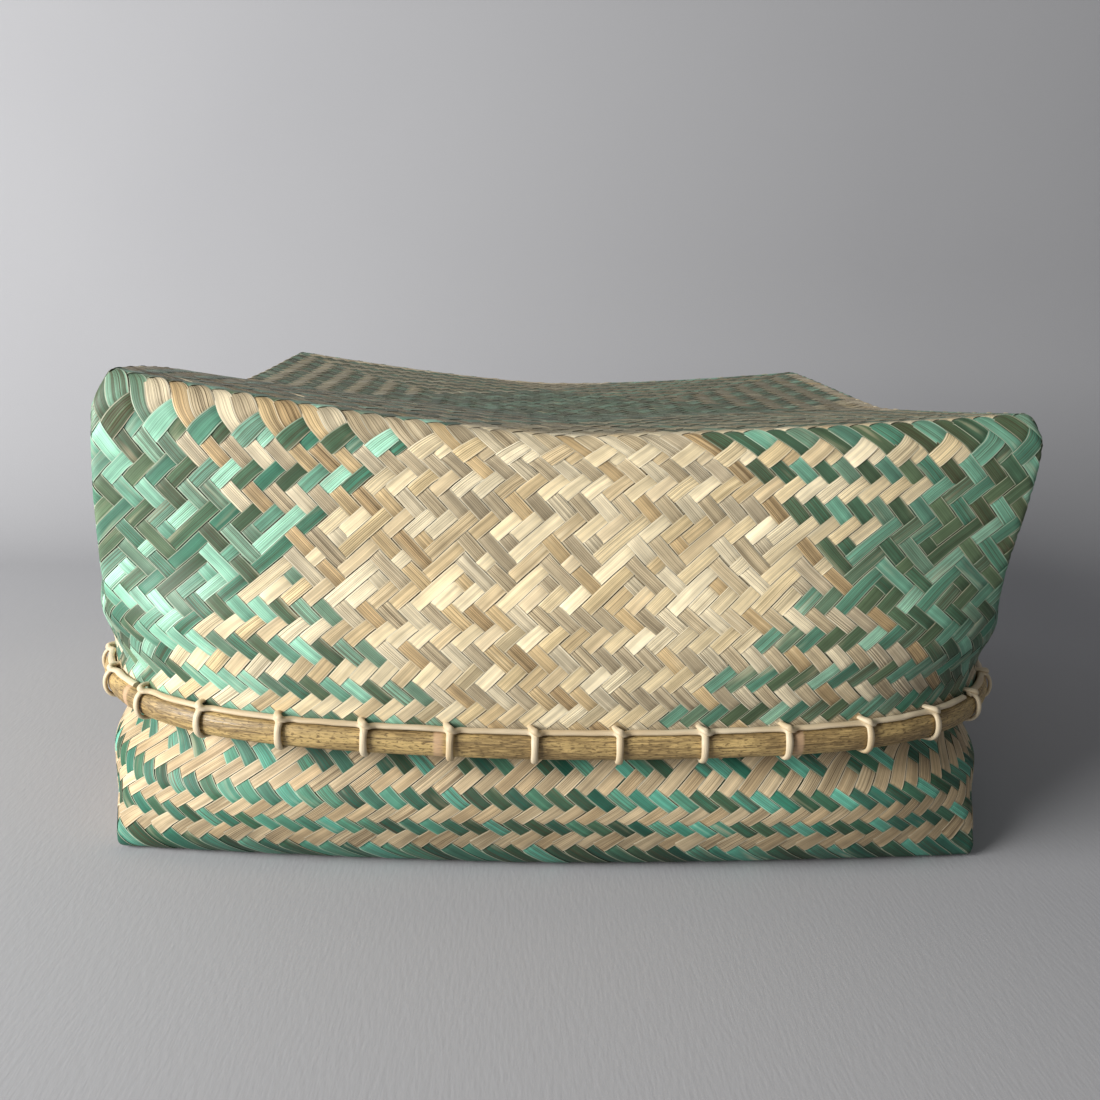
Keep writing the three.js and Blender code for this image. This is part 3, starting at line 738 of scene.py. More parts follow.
def smooth_path(knots, parts):
    """A curve through knots, with columns carried along."""
    knots = np.array(knots)
    padded = np.vstack([2 * knots[0] - knots[1], knots, 2 * knots[-1] - knots[-2]])
    pieces = []
    t = np.arange(parts)[:, None] / parts
    for i in range(1, len(padded) - 2):
        before, start, end, after = padded[i - 1 : i + 3]
        gap = np.linalg.norm((end - start)[:3])
        previous = max(np.linalg.norm((start - before)[:3]), 1e-6)
        following = max(np.linalg.norm((after - end)[:3]), 1e-6)
        leaving = gap * ((start - before) / previous + (end - start) / max(gap, 1e-6)) / 2
        arriving = gap * ((end - start) / max(gap, 1e-6) + (after - end) / following) / 2
        pieces.append(curve(t, start, leaving, end, arriving))
    pieces.append(knots[-1:])
    return np.vstack(pieces)


def lashing_mesh(name, rim, stations, quarter, station, half_width, half_thickness, jitter):
    """The flattened cane that lashes one quarter of a rim."""
    pitch = rim.length / stations
    per_strand = stations // 4
    first = quarter * per_strand - per_strand // 2
    knots = []
    arrival, loop = station[0], station[1:]
    for index in range(first, first + per_strand):
        here = STATION_SHIFT + index * pitch
        lean = jitter.normal(0, LEAN_SPREAD)
        if index > first:
            knots.append((here + arrival[0], *arrival[1:]))
        for along, reach, height, out, up in loop:
            knots.append((here + along + lean * (1 if height > 0 else 0), reach, height, out, up))
        leave, arrive = here + loop[-1][0], here + pitch + arrival[0] - TUCK
        for share in (0.2, 0.4, 0.6, 0.8):
            sway = jitter.normal(0, SWAY_SPREAD)
            knots.append((leave + (arrive - leave) * share, arrival[1], arrival[2] + sway, *arrival[3:]))
    end = STATION_SHIFT + (first + per_strand) * pitch + arrival[0] - TUCK
    knots.append((end, *arrival[1:]))
    path = smooth_path(knots, 5)
    centre, out = rim.at(path[:, 0], path[:, 1], path[:, 2])
    facing = out * path[:, 3:4]
    facing[:, 2] += rim.inwards * path[:, 4]
    forwards = np.gradient(centre, axis=0)
    forwards /= np.linalg.norm(forwards, axis=1, keepdims=True)
    facing -= forwards * np.sum(facing * forwards, axis=1, keepdims=True)
    facing /= np.maximum(np.linalg.norm(facing, axis=1, keepdims=True), 1e-9)
    sideways = np.cross(forwards, facing)
    angle = np.arange(CANE_LANES) * 2 * math.pi / CANE_LANES
    swell = 1 + 0.05 * np.sin(np.arange(len(centre)) * 0.31 + quarter)
    grid = (
        centre[:, None]
        + sideways[:, None] * (np.cos(angle) * half_width)[None, :, None] * swell[:, None, None]
        + facing[:, None] * (np.sin(angle) * half_thickness)[None, :, None]
    )
    length = run_lengths(centre)
    uv = np.stack([np.repeat(length * FIBRE_SCALE, CANE_LANES), np.tile(angle / math.pi, len(grid))], 1)
    return tube_mesh(name, grid, uv, first_corner=1), float(length[-1])


# Materials

class Finish:
    """A procedural material being built up from nodes."""

    def __init__(self, name):
        """Starts a material that has only its shader."""
        self.material = bpy.data.materials.new(name)
        self.material.use_nodes = True
        self.tree = self.material.node_tree
        self.shader = self.tree.nodes["Principled BSDF"]

    def feed(self, node, socket, value):
        """Links an output to a node's input, or sets the input's number or colour."""
        if isinstance(value, bpy.types.NodeSocket):
            self.tree.links.new(value, node.inputs[socket])
        else:
            node.inputs[socket].default_value = value

    def node(self, kind, inputs=None, **settings):
        """A new node with its settings, and its inputs set or linked."""
        made = self.tree.nodes.new("ShaderNode" + kind)
        for key, value in settings.items():
            setattr(made, key, value)
        for socket, value in (inputs or {}).items():
            self.feed(made, socket, value)
        return made

    def maths(self, operation, first, second=0.5):
        """What an operation makes of one or two values."""
        return self.node("Math", {0: first, 1: second}, operation=operation).outputs[0]

    def times(self, first, second):
        """Two values multiplied."""
        return self.maths("MULTIPLY", first, second)

    def fibre_place(self):
        """The place along and across the fibres."""
        return self.node("UVMap", uv_map=FIBRE).outputs["UV"]

    def noise(self, place, stretch, scale, detail, roughness):
        """Noise over places that are stretched first."""
        stretched = self.node("Mapping", {"Vector": place, "Scale": stretch}).outputs["Vector"]
        inputs = {"Vector": stretched, "Scale": scale, "Detail": detail, "Roughness": roughness}
        return self.node("TexNoise", inputs).outputs["Fac"]

    def spread(self, value, low, high, to_low=0.0, to_high=1.0):
        """A value carried over smoothly from one range to another."""
        inputs = {"Value": value, "From Min": low, "From Max": high, "To Min": to_low, "To Max": to_high}
        return self.node("MapRange", inputs, interpolation_type="SMOOTHSTEP").outputs["Result"]

    def mix(self, share, one, other, kind="MIX"):
        """Two colours mixed by a share."""
        inputs = {0: share, 6: one, 7: other}
        return self.node("Mix", inputs, data_type="RGBA", blend_type=kind).outputs[2]

    def attribute(self, name, output):
        """A value that the mesh holds."""
        return self.node("Attribute", attribute_name=name).outputs[output]

    def surface(self, colour, roughness, height, strength, distance):
        """Gives the shader its colour, its roughness and a relief, and returns the finished material."""
        self.feed(self.shader, "Base Color", colour)
        self.feed(self.shader, "Roughness", roughness)
        relief = self.node("Bump", {"Strength": strength, "Distance": distance, "Height": height})
        self.feed(self.shader, "Normal", relief.outputs["Normal"])
        return self.material


def strip_finish(name, sheen, depth_shade):
    """Split bamboo strips: long fibres, painted shade at their edges and where they pass under, pale edge
    lines that are partly painted highlight, satin.
    """
    finish = Finish(name)
    place = finish.fibre_place()
    fine = finish.noise(place, (0.07, 9.5, 1.0), 1.0, 1.0, 0.5)
    coarse = finish.noise(place, (0.16, 1.6, 1.0), 1.0, 2.0, 0.5)
    blotch = finish.noise(place, (0.42, 0.22, 1.0), 1.0, 3.0, 0.6)
    tint = finish.attribute("tint", "Color")
    lined_share = finish.attribute("tint", "Alpha")
    lay = finish.attribute("lay", "Fac")
    # Distance from the strip's middle line, 0 to 1
    side = finish.node("SeparateXYZ", {"Vector": place}).outputs["Y"]
    across = finish.maths("FLOORED_MODULO", finish.maths("ADD", side, 1.0), STRIP_SPACING)
    across = finish.maths("ABSOLUTE", finish.maths("SUBTRACT", across, 1.0))
    # Painted shade darkens each strip towards its edges, next to the gaps.
    rim = finish.spread(across, 0.93, 1.0, 1.0, 0.42)
    lined = finish.times(lined_share, finish.spread(fine, 0.40, 0.56, 0.60, 0.0))
    # Ribs of the split fibres, about eight to a strip, that wander with the coarse grain
    phase = finish.maths("ADD", finish.times(side, 26.0), finish.times(coarse, 7.0))
    ribs = finish.times(finish.spread(finish.maths("SINE", phase), 0.1, 0.9), lined_share)
    lines = finish.maths("SUBTRACT", 1.10, finish.maths("ADD", lined, finish.times(ribs, 0.32)))
    grain = finish.spread(coarse, 0.34, 0.66, 0.80, 1.12)
    worn = finish.spread(blotch, 0.32, 0.70, 0.78, 1.16)
    # Painted shade darkens a strip where it dives under its neighbour.
    painted_under_shade = finish.spread(lay, 0.4, 0.95, 1.0, depth_shade)
    shade = finish.times(finish.times(finish.times(lines, grain), finish.times(worn, rim)), painted_under_shade)
    grey = finish.node("CombineColor", {"Red": shade, "Green": shade, "Blue": shade}).outputs["Color"]
    colour = finish.mix(1.0, tint, grey, "MULTIPLY")
    faded = finish.noise(place, (0.30, 0.55, 1.0), 1.0, 2.0, 0.5)
    bleached = finish.mix(1.0, colour, (0.95, 0.78, 0.50, 1.0), "SCREEN")
    colour = finish.mix(finish.spread(faded, 0.58, 0.80, 0.0, 0.34), colour, bleached)
    # A pale line runs just inside each edge: partly the lighter cut side of the strip, partly a painted
    # highlight.
    edge = finish.times(finish.spread(across, 0.85, 0.90), finish.spread(across, 0.95, 0.99, 0.75, 0.0))
    pale_edge_and_highlight = finish.mix(1.0, colour, (0.42, 0.40, 0.30, 1.0), "SCREEN")
    colour = finish.mix(edge, colour, pale_edge_and_highlight)
    brown = finish.spread(lines, 0.45, 0.9, 0.30, 0.0)
    colour = finish.mix(brown, colour, (0.16, 0.10, 0.045, 1.0))
    finish.shader.inputs["Specular IOR Level"].default_value = 0.3
    finish.shader.inputs["Anisotropic"].default_value = 0.55
    tangent = finish.node("Tangent", direction_type="UV_MAP", uv_map=FIBRE)
    finish.feed(finish.shader, "Tangent", tangent.outputs["Tangent"])
    return finish.surface(colour, finish.spread(coarse, 0.3, 0.7, sheen + 0.14, sheen), fine, 0.30, 0.0003)


def hoop_finish(name, skin, dark, sheen):
    """Split bamboo culm: mottled skin, dark streaks and specks, pale rings at the nodes."""
    finish = Finish(name)
    place = finish.fibre_place()
    streaks = finish.noise(place, (0.10, 5.0, 1.0), 1.3, 4.0, 0.7)
    mottle = finish.noise(place, (0.16, 0.7, 1.0), 1.2, 4.0, 0.62)
    fine = finish.noise(place, (1.4, 12.0, 1.0), 1.4, 2.0, 0.5)
    specks = finish.noise(place, (2.2, 7.0, 1.0), 2.2, 3.0, 0.6)
    colour = finish.mix(finish.spread(mottle, 0.44, 0.60), (*dark, 1.0), (*skin, 1.0))
    deep = (dark[0] * 0.45, dark[1] * 0.42, dark[2] * 0.4, 1.0)
    colour = finish.mix(finish.spread(streaks, 0.50, 0.66, 0.0, 0.9), colour, deep)
    pale = (min(1, skin[0] * 1.5), min(1, skin[1] * 1.45), skin[2] * 1.5, 1.0)
    colour = finish.mix(finish.spread(fine, 0.44, 0.70, 0.0, 0.4), colour, pale)
    colour = finish.mix(finish.spread(specks, 0.52, 0.62, 0.0, 0.8), colour, deep)
    ring = finish.spread(finish.attribute("mark", "Fac"), 0.15, 0.7, 0.0, 0.75)
    colour = finish.mix(ring, colour, (0.58, 0.38, 0.23, 1.0))
    roughness = finish.spread(streaks, 0.3, 0.7, sheen, sheen + 0.22)
    return finish.surface(colour, roughness, finish.maths("ADD", streaks, fine), 0.35, 0.0005)


def cane_finish(name, pale):
    """Rattan cane: pale, long pores, satin skin."""
    finish = Finish(name)
    place = finish.fibre_place()
    pores = finish.noise(place, (0.8, 7.0, 1.0), 2.2, 3.0, 0.6)
    patches = finish.noise(place, (0.25, 0.5, 1.0), 1.2, 2.0, 0.5)
    browner = (pale[0] * 0.86, pale[1] * 0.78, pale[2] * 0.66, 1.0)
    colour = finish.mix(finish.spread(patches, 0.35, 0.7), (*pale, 1.0), browner)
    colour = finish.mix(finish.spread(pores, 0.52, 0.74, 0.0, 0.45), colour, (0.36, 0.25, 0.14, 1.0))
    return finish.surface(colour, finish.spread(pores, 0.3, 0.7, 0.42, 0.6), pores, 0.35, 0.0004)


def cloth_finish(name, tone, weave_scale):
    """Plain pale cloth of the floor and backdrop."""
    finish = Finish(name)
    place = finish.node("TexCoord").outputs["Object"]
    broad = finish.noise(place, (1.0, 1.0, 1.0), 2.2, 3.0, 0.5)
    thread = finish.noise(place, (weave_scale, weave_scale * 0.2, weave_scale), 1.0, 2.0, 0.5)
    dim = (tone[0] * 0.95, tone[1] * 0.95, tone[2] * 0.955, 1.0)
    colour = finish.mix(finish.spread(broad, 0.3, 0.7), dim, (*tone, 1.0))
    finish.shader.inputs["Specular IOR Level"].default_value = 0.2
    return finish.surface(colour, finish.spread(thread, 0.3, 0.7, 0.85, 0.95), thread, 0.12, 0.0006)


# Settings shown in the sidebar

def colour_property(name, description, default):
    """A colour that can be picked in the sidebar."""
    return FloatVectorProperty(
        name=name, description=description, subtype="COLOR", size=3, min=0, max=1, default=default,
    )


class BambooBoxPlait(bpy.types.PropertyGroup):
    """Sizes of the strips"""
    strip_width: FloatProperty(
        name="Strip Width", description="Width of a strip as a share of the pitch between strips",
        default=0.965, min=0.7, max=0.99,
    )
    over_depth: FloatProperty(
        name="Over", description="How deep below the wall's face a strip lies where it passes over",
        default=0.00012, unit="LENGTH", precision=5,
    )
    under_depth: FloatProperty(
        name="Under", description="How deep below the wall's face a strip lies where it passes under",
        default=0.00058, unit="LENGTH", precision=5,
    )
    lining_over_depth: FloatProperty(
        name="Lining Face", description="Depth of the lining's inner face below the wall's outer face",
        default=0.00192, unit="LENGTH", precision=5,
    )
    lining_under_depth: FloatProperty(
        name="Lining Back", description="Depth of a lining strip where it passes behind another",
        default=0.00138, unit="LENGTH", precision=5,
    )


class BambooBoxColours(bpy.types.PropertyGroup):
    """Colours of strips, hoops and cane"""
    mint: colour_property("Mint", "Light dyed strips", (0.400, 0.750, 0.550))
    teal: colour_property("Teal", "Dark dyed strips", (0.062, 0.215, 0.138))
    sage: colour_property("Sage", "Dull dyed strips", (0.140, 0.200, 0.105))
    cream: colour_property("Cream", "Palest natural strips", (0.930, 0.810, 0.560))
    wheat: colour_property("Wheat", "Yellow natural strips", (0.780, 0.610, 0.340))
    tan: colour_property("Tan", "Brown natural strips", (0.500, 0.345, 0.175))
    fawn: colour_property("Fawn", "Natural strips of the base", (0.700, 0.520, 0.300))
    grey_tan: colour_property("Grey Tan", "Dull natural strips", (0.500, 0.420, 0.290))
    # A dull film of dust on the top, which also stands in for painted shade there.
    dust_and_shade: colour_property("Dust", "Dull film on the top", (0.083, 0.090, 0.034))
    hoop_skin: colour_property("Hoop Skin", "Light patches of the outer hoops", (0.520, 0.370, 0.150))
    hoop_dark: colour_property("Hoop Dark", "Dark patches of the outer hoops", (0.230, 0.155, 0.062))
    inner_hoop: colour_property("Inner Hoop", "Inner hoops", (0.520, 0.380, 0.200))
    cane: colour_property("Cane", "Rattan lashing", (0.640, 0.540, 0.380))


class BambooBoxLashing(bpy.types.PropertyGroup):
    """Sizes of the cane"""
    cane_width: FloatProperty(
        name="Cane Width", description="Width of the flattened cane",
        default=0.0024, unit="LENGTH", precision=4,
    )
    cane_thickness: FloatProperty(
        name="Cane Thickness", description="Thickness of the flattened cane",
        default=0.0015, unit="LENGTH", precision=4,
    )


class BambooBoxStage(bpy.types.PropertyGroup):
    """Cloth, light and camera"""
    cloth: colour_property("Cloth", "Floor and backdrop", (0.398, 0.402, 0.421))
    lens: FloatProperty(
        name="Lens", description="Focal length of the camera", default=33.869, unit="CAMERA", precision=3,
    )
    light: FloatProperty(
        name="Light", description="Strength of the main soft light", default=36.0, unit="POWER",
    )


# Natural strips are split from pale culms, from duller weathered ones, or for the base from warmer ones.
PALE, WEATHERED, WARM = 0, 1, 2


def natural_tint(colours, family, jitter):
    """A natural strip's colour and how strongly lined it is."""
    cream, wheat = list(colours.cream), list(colours.wheat)
    tan, grey_tan = list(colours.tan), list(colours.grey_tan)
    pick = jitter.uniform()
    if family == WARM:
        tint = blend_colour(list(colours.fawn), cream, jitter.uniform(0, 0.35))
        return tint + [jitter.uniform(0.2, 0.9)]
    if family == PALE:
        tint = blend_colour(cream, wheat, jitter.uniform(0, 1))
        if pick > 0.8:
            tint = blend_colour(tint, tan, 0.4)
        return tint + [jitter.uniform(0.1, 0.7)]
    if pick < 0.45:
        tint = blend_colour(grey_tan, wheat, jitter.uniform(0, 0.4))
    elif pick < 0.75:
        tint = blend_colour(tan, wheat, jitter.uniform(0, 0.6))
    else:
        tint = blend_colour(grey_tan, cream, jitter.uniform(0.3, 0.8))
    return tint + [jitter.uniform(0.45, 1.0)]


def dyed_tint(colours, dull, jitter):
    """A dyed strip's colour and how strongly lined it is; dull moves the choice from mint towards sage."""
    mint, teal, sage = list(colours.mint), list(colours.teal), list(colours.sage)
    pick = dull + (1 - dull) * jitter.uniform()
    if pick < 0.4:
        tint = blend_colour(mint, teal, jitter.uniform(0, 0.5))
    elif pick < 0.62:
        tint = blend_colour(teal, mint, jitter.uniform(0, 0.4))
    elif pick < 0.8:
        tint = blend_colour(sage, mint, jitter.uniform(0, 0.7))
    else:
        tint = blend_colour(sage, teal, jitter.uniform(0, 0.6))
    depth = jitter.uniform(0.58, 1.22)
    return [value * depth for value in tint] + [jitter.uniform(0.35, 1.0)]


# Which strips are dyed: on each of the lid's sides all but those between two numbers, on the base by side
LID_NATURAL = range(16, 42)
BASE_DYED = [range(STRIPS), range(18), range(18, STRIPS), range(0)]
SEEDS = {"lid": 7001, "base": 9001}
LINING_SEEDS = {"lid": 7100, "base": 9100}
CANE_SEED = 5200
# On the lid's wall the darkening is full up to a height and gone a reach above it. Painted shade on the base
# lessens from the floor up.
LID_DARK_FROM, LID_DARK_REACH = 58.0, 30.0
FOOT_SHADE_REACH = 22.0
# The dust and painted shade on the lid's top: distance from the middle at which they end, reach of their
# edge, share and darkening
DUST_AND_SHADE_END, DUST_AND_SHADE_REACH, DUST_AND_SHADE_SHARE, TOP_PAINTED_SHADE = 152.0, 14.0, 0.58, 0.22


def lid_tint_darkened(tint, place, dust_and_shade):
    """Tints along one of the lid's strips, darker on the wall just above the rim, dulled with dust and
    darkened with painted shade on top.
    """
    height = place[:, 2]
    # The wall is darker low down, just above the rim.
    tint = tint * (0.86 + 0.14 * np.clip((height - LID_DARK_FROM) / LID_DARK_REACH, 0, 1))[:, None]
    # On the top, dust dulls the strips and painted shade darkens them.
    from_middle = np.abs(place[:, :2]).max(1)
    flat = np.clip((DUST_AND_SHADE_END - from_middle) / DUST_AND_SHADE_REACH, 0, 1) * (height > SHOULDER)
    share = DUST_AND_SHADE_SHARE * flat[:, None]
    return tint * (1 - TOP_PAINTED_SHADE * flat[:, None]) * (1 - share) + share * np.array(dust_and_shade)


def outer_strips(half_name, quarter, settings):
    """All the outer layer's strips that start on one side."""
    plait, colours = settings.plait, settings.colours
    jitter = np.random.default_rng(SEEDS[half_name] + quarter)
    strips = []
    for number in range(STRIPS):
        points, lay, length = ribbon(
            half_name, quarter, number + 0.5, 1, plait.strip_width, plait.over_depth / MILLIMETRE,
            plait.under_depth / MILLIMETRE, OUTER_PARTS, False, jitter,
        )
        weathered_side = quarter % 2
        if half_name == "lid":
            dyed = number not in LID_NATURAL
            family = WEATHERED if weathered_side else PALE
            dull, depth = 0.42 * weathered_side, 1.0 if dyed else 0.97
        else:
            dyed = number in BASE_DYED[quarter]
            family = WARM
            # The base's strips are darkened, partly as duller tones, partly as painted shade under the lid's
            # overhang.
            dull, depth = 0.25, 0.66 if dyed else 0.78
        tint = dyed_tint(colours, dull, jitter) if dyed else natural_tint(colours, family, jitter)
        tint = np.tile(tint, (len(length), 1))
        tint[:, :3] *= depth
        place = points[:, 2]
        if half_name == "lid":
            tint[:, :3] = lid_tint_darkened(tint[:, :3], place, colours.dust_and_shade)
        else:
            if dyed:
                tint[:, 0] *= 0.55
            # Painted shade darkens the base towards the floor.
            tint[:, :3] *= (0.66 + 0.34 * np.clip(place[:, 2] / FOOT_SHADE_REACH, 0, 1))[:, None]
        strips.append((points, lay, length + STRIP_OFFSET * number, tint, number))
    return strips


def lining_strips(half_name, quarter, settings):
    """All the lining's strips that start on one side. They are broad and undyed."""
    plait, colours = settings.plait, settings.colours
    jitter = np.random.default_rng(LINING_SEEDS[half_name] + quarter)
    strips = []
    for number in range(STRIPS // LINING_STEP):
        points, lay, length = ribbon(
            half_name, quarter, (number + 0.5) * LINING_STEP, LINING_STEP, LINING_WIDTH,
            plait.lining_over_depth / MILLIMETRE, plait.lining_under_depth / MILLIMETRE,
            LINING_PARTS, True, jitter,
        )
        tint = np.tile(natural_tint(colours, PALE, jitter), (len(length), 1))
        strips.append((points, lay, length + LINING_OFFSET * number, tint, number))
    return strips


# Operators

def plait_half(context, half_name):
    """Plaits one half's outer layer in four pieces, by the side that their strips start on."""
    settings = context.scene.bamboo_box
    material = strip_finish(half_name + "_strips", 0.38 if half_name == "lid" else 0.5, 0.68)
    for quarter, side in enumerate(SIDES):
        name = half_name + "_strips_" + side
        mesh = grid_mesh(name, outer_strips(half_name, quarter, settings), half_name == "base")
        piece = add_piece(name, mesh, material, half_name)
        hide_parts(half_name + "_weave")


def line_half(context, half_name):
    """Plaits one half's lining."""
    settings = context.scene.bamboo_box
    material = strip_finish(half_name + "_lining_strips", 0.40, 0.5)
    for quarter, side in enumerate(SIDES):
        name = half_name + "_lining_strips_" + side
        mesh = grid_mesh(name, lining_strips(half_name, quarter, settings), half_name == "lid")
        piece = add_piece(name, mesh, material, half_name)
        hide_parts(half_name + "_lining")


def bend_hoops(context, half_name):
    """Bends one half's outer and inner hoops round its rim."""
    colours = context.scene.bamboo_box.colours
    rim = RIMS[half_name]
    height, thickness = HOOPS[half_name]
    name = half_name + "_outer_rim"
    outer = hoop_mesh(name, rim, height, thickness, GAP, True, CULM_NODES)
    skin = hoop_finish(half_name + "_hoop_skin", tuple(colours.hoop_skin), tuple(colours.hoop_dark), 0.36)
    piece = add_piece(name, outer, skin, half_name)
    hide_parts(half_name + "_outer_hoop")
    name = half_name + "_inner_rim"
    inner = hoop_mesh(name, rim, height, INNER_HOOP_THICKNESS, -INNER_HOOP_DEPTH, False, INNER_CULM_NODES)
    plain = tuple(colours.inner_hoop)
    flesh = hoop_finish(half_name + "_hoop_flesh", plain, tuple(0.7 * value for value in plain), 0.5)
    piece = add_piece(name, inner, flesh, half_name)
    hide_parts(half_name + "_inner_hoop")


def lash_half(context, half_name):
    """Lashes one half's rim with four lengths of cane."""
    settings = context.scene.bamboo_box
    lashing = settings.lashing
    material = cane_finish(half_name + "_cane", tuple(settings.colours.cane))
    station = (hitched_station if half_name == "lid" else plain_station)(*HOOPS[half_name])
    half_width = lashing.cane_width / MILLIMETRE / 2
    half_thickness = lashing.cane_thickness / MILLIMETRE / 2
    lengths = []
    for quarter, side in enumerate(SIDES):
        jitter = np.random.default_rng(CANE_SEED + quarter)
        name = half_name + "_cane_" + side
        mesh, length = lashing_mesh(
            name, RIMS[half_name], STATIONS[half_name], quarter, station, half_width, half_thickness, jitter
        )
        piece = add_piece(name, mesh, material, half_name)
        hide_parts(half_name + "_lashing_" + side)
        lengths.append(round(length))
    print("cane lengths of the", half_name, "in mm:", lengths)


class OBJECT_OT_plait_lid(bpy.types.Operator):
    """Plait the lid's outer layer"""
    bl_idname = "object.bamboo_plait_lid"
    bl_label = "Plait Lid"

    def execute(self, context):
        plait_half(context, "lid")
        return {"FINISHED"}


class OBJECT_OT_line_lid(bpy.types.Operator):
    """Plait the lid's lining"""
    bl_idname = "object.bamboo_line_lid"
    bl_label = "Line Lid"

    def execute(self, context):
        line_half(context, "lid")
        return {"FINISHED"}


class OBJECT_OT_plait_base(bpy.types.Operator):
    """Plait the base's outer layer"""
    bl_idname = "object.bamboo_plait_base"
    bl_label = "Plait Base"

    def execute(self, context):
        plait_half(context, "base")
        return {"FINISHED"}


class OBJECT_OT_line_base(bpy.types.Operator):
    """Plait the base's lining"""
    bl_idname = "object.bamboo_line_base"
    bl_label = "Line Base"

    def execute(self, context):
        line_half(context, "base")
        return {"FINISHED"}


class OBJECT_OT_bend_hoops(bpy.types.Operator):
    """Bend the four bamboo hoops round the two rims"""
    bl_idname = "object.bamboo_bend_hoops"
    bl_label = "Bend Hoops"

    def execute(self, context):
        bend_hoops(context, "lid")
        bend_hoops(context, "base")
        return {"FINISHED"}


class OBJECT_OT_lash_rims(bpy.types.Operator):
    """Lash both rims with rattan cane"""
    bl_idname = "object.bamboo_lash_rims"
    bl_label = "Lash Rims"

    def execute(self, context):
        lash_half(context, "lid")
        lash_half(context, "base")
        return {"FINISHED"}


class OBJECT_OT_set_stage(bpy.types.Operator):
    """Lay the cloth and set the lights and the camera"""
    bl_idname = "object.bamboo_set_stage"
    bl_label = "Set Stage"

    def execute(self, context):
        stage = context.scene.bamboo_box.stage
        lay_cloth(stage)
        set_lights(stage)
        set_camera(stage)
        return {"FINISHED"}


def lay_cloth(stage):
    """A cloth that runs over the floor and up behind the box."""
    width, front, back, top, radius, floor = 3.2, -1.6, 0.50, 2.0, 0.24, -0.0003
    bend_steps = 12
    outline = [(front, floor), (back - radius, floor)]
    for i in range(1, bend_steps + 1):
        angle = math.pi / 2 * i / bend_steps
        outline.append((back - radius + radius * math.sin(angle), floor + radius * (1 - math.cos(angle))))
    outline.append((back, top))
    columns = np.linspace(-width / 2, width / 2, 33)
    vertices = [(float(x), y, z) for y, z in outline for x in columns]
    n = len(columns)
    faces = [
        (i * n + j, i * n + j + 1, (i + 1) * n + j + 1, (i + 1) * n + j)
        for i in range(len(outline) - 1)
        for j in range(n - 1)
    ]
    mesh = bpy.data.meshes.new("cloth_sweep")
    mesh.from_pydata(vertices, [], faces)
    mesh.polygons.foreach_set("use_smooth", [True] * len(faces))
    mesh.materials.append(cloth_finish("cloth", tuple(stage.cloth), 900.0))
    sweep = put_in_scene("cloth_sweep", mesh)


def place_by_axes(thing, right, up, backwards, place):
    """Turns a thing so that its own axes run right, up and backwards, and puts it in its place."""
    turn = np.column_stack([right, up, backwards]).tolist()
    thing.matrix_world = Matrix([[*row, along] for row, along in zip(turn, place)] + [[0.0, 0.0, 0.0, 1.0]])


def add_area_light(name, place, target, size, power, tone):
    """A soft rectangular light that faces its target."""
    light = bpy.data.lights.new(name, "AREA")
    light.shape = "RECTANGLE"
    light.size, light.size_y = size
    light.energy = power
    light.color = tone
    direction = np.array(target) - np.array(place)
    direction /= np.linalg.norm(direction)
    side = np.cross(direction, (0, 0, 1))
    side /= np.linalg.norm(side)
    place_by_axes(put_in_scene(name, light), side, np.cross(side, direction), -direction, place)


def set_lights(stage):
    """One soft window light, low from the left front, and a dim room."""
    add_area_light(
        "window", place=(-1.15, -0.75, 0.52), target=(0.0, 0.0, 0.08), size=(0.85, 0.75),
        power=stage.light, tone=(1.0, 0.985, 0.96),
    )
    world = bpy.data.worlds.new("room")
    world.use_nodes = True
    background = world.node_tree.nodes["Background"]
    background.inputs["Color"].default_value = (0.95, 0.95, 0.95, 1.0)
    background.inputs["Strength"].default_value = 0.20
    bpy.context.scene.view_settings.view_transform = "Standard"
    bpy.context.scene.world = world


CAMERA_PLACE = (-0.0146, -0.48304, 0.18302)
CAMERA_ANGLES = (12.5, -1.96, 1.57)  # degrees down, round to the left, and rolled


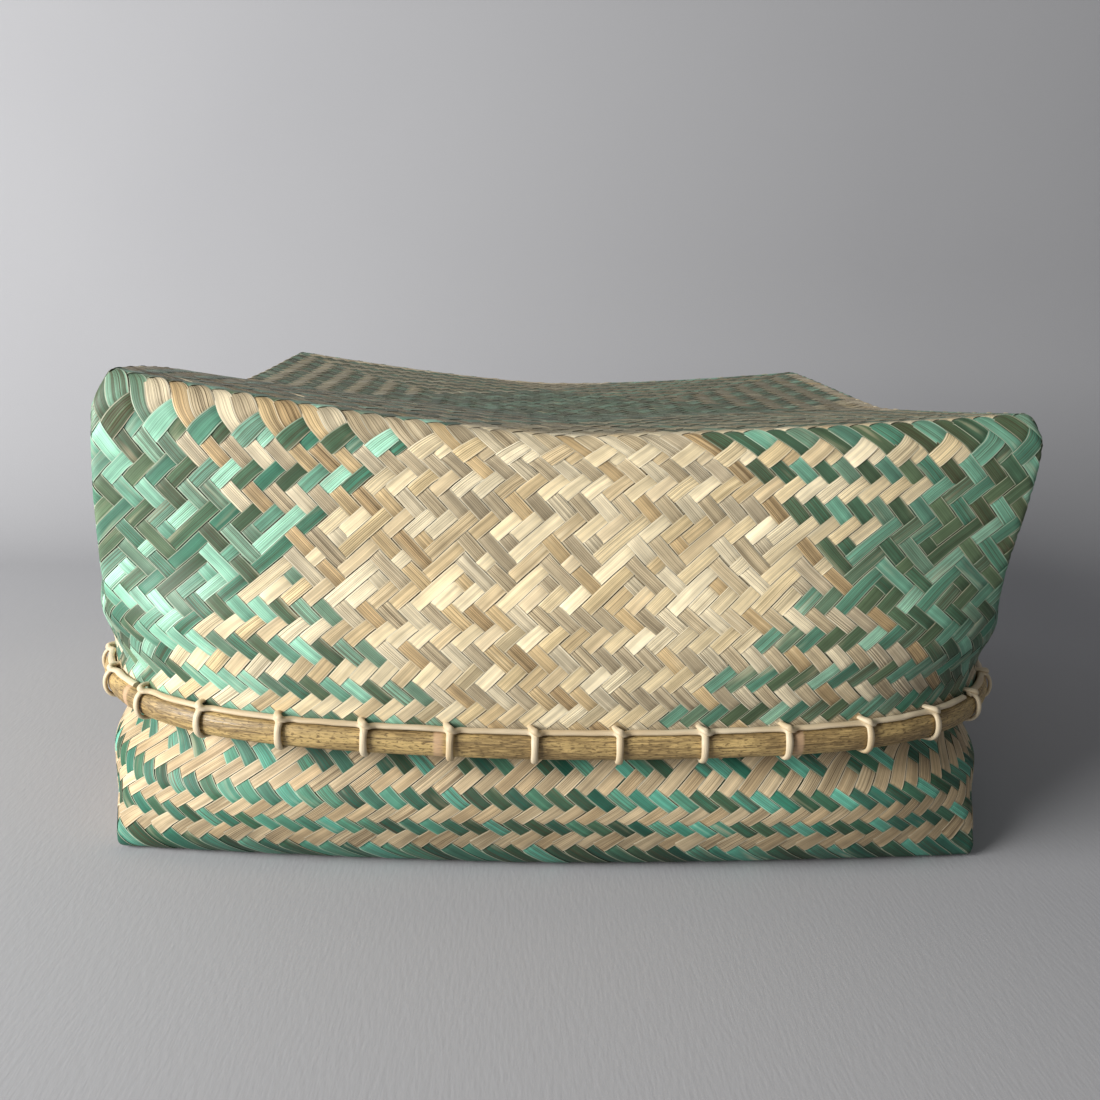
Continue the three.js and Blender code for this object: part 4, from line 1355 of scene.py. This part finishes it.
def set_camera(stage):
    """The camera at the photograph's place."""
    pitch, yaw, roll = (math.radians(value) for value in CAMERA_ANGLES)
    level = math.cos(pitch)
    forwards = np.array([-math.sin(yaw) * level, math.cos(yaw) * level, -math.sin(pitch)])
    right = np.array([math.cos(yaw), math.sin(yaw), 0.0])
    up = np.cross(right, forwards)
    rolled_right = math.cos(roll) * right + math.sin(roll) * up
    rolled_up = -math.sin(roll) * right + math.cos(roll) * up
    data = bpy.data.cameras.new("camera")
    data.sensor_width = 36.0
    data.sensor_fit = "HORIZONTAL"
    data.lens = stage.lens
    data.clip_start = 0.01
    camera = put_in_scene("camera", data)
    place_by_axes(camera, rolled_right, rolled_up, -forwards, CAMERA_PLACE)
    bpy.context.scene.camera = camera


class BambooBoxSettings(bpy.types.PropertyGroup):
    """All the settings of the box"""
    plait: PointerProperty(name="Plait", description="Sizes of the strips", type=BambooBoxPlait)
    colours: PointerProperty(
        name="Colours", description="Colours of strips, hoops and cane", type=BambooBoxColours,
    )
    lashing: PointerProperty(name="Lashing", description="Sizes of the cane", type=BambooBoxLashing)
    stage: PointerProperty(name="Stage", description="Cloth, light and camera", type=BambooBoxStage)


STEPS = [
    OBJECT_OT_plait_lid,
    OBJECT_OT_line_lid,
    OBJECT_OT_plait_base,
    OBJECT_OT_line_base,
    OBJECT_OT_bend_hoops,
    OBJECT_OT_lash_rims,
    OBJECT_OT_set_stage,
]


class VIEW3D_PT_bamboo_box(bpy.types.Panel):
    """The steps of making the box, with its sizes and colours"""
    bl_idname = "VIEW3D_PT_bamboo_box"
    bl_label = "Bamboo Box"
    bl_space_type = "VIEW_3D"
    bl_region_type = "UI"
    bl_category = "Bamboo Box"

    def draw(self, context):
        """Lists the settings, then the steps in order."""
        settings = context.scene.bamboo_box
        for group in (settings.plait, settings.colours, settings.lashing, settings.stage):
            box = self.layout.box()
            for key in group.bl_rna.properties.keys():
                if key not in ("rna_type", "name"):
                    box.prop(group, key)
        for step in STEPS:
            self.layout.operator(step.bl_idname)


CLASSES = [
    BambooBoxPlait,
    BambooBoxColours,
    BambooBoxLashing,
    BambooBoxStage,
    BambooBoxSettings,
    *STEPS,
    VIEW3D_PT_bamboo_box,
]


def register():
    """Adds the box's classes and settings."""
    for each in CLASSES:
        bpy.utils.register_class(each)
    bpy.types.Scene.bamboo_box = PointerProperty(type=BambooBoxSettings)


def unregister():
    """Takes the box's settings and classes away again."""
    del bpy.types.Scene.bamboo_box
    for each in reversed(CLASSES):
        bpy.utils.unregister_class(each)


def main():
    """Makes the whole box and its stage."""
    register()
    for step in STEPS:
        area, operation = step.bl_idname.split(".")
        getattr(getattr(bpy.ops, area), operation)()


if __name__ == "__main__":
    main()
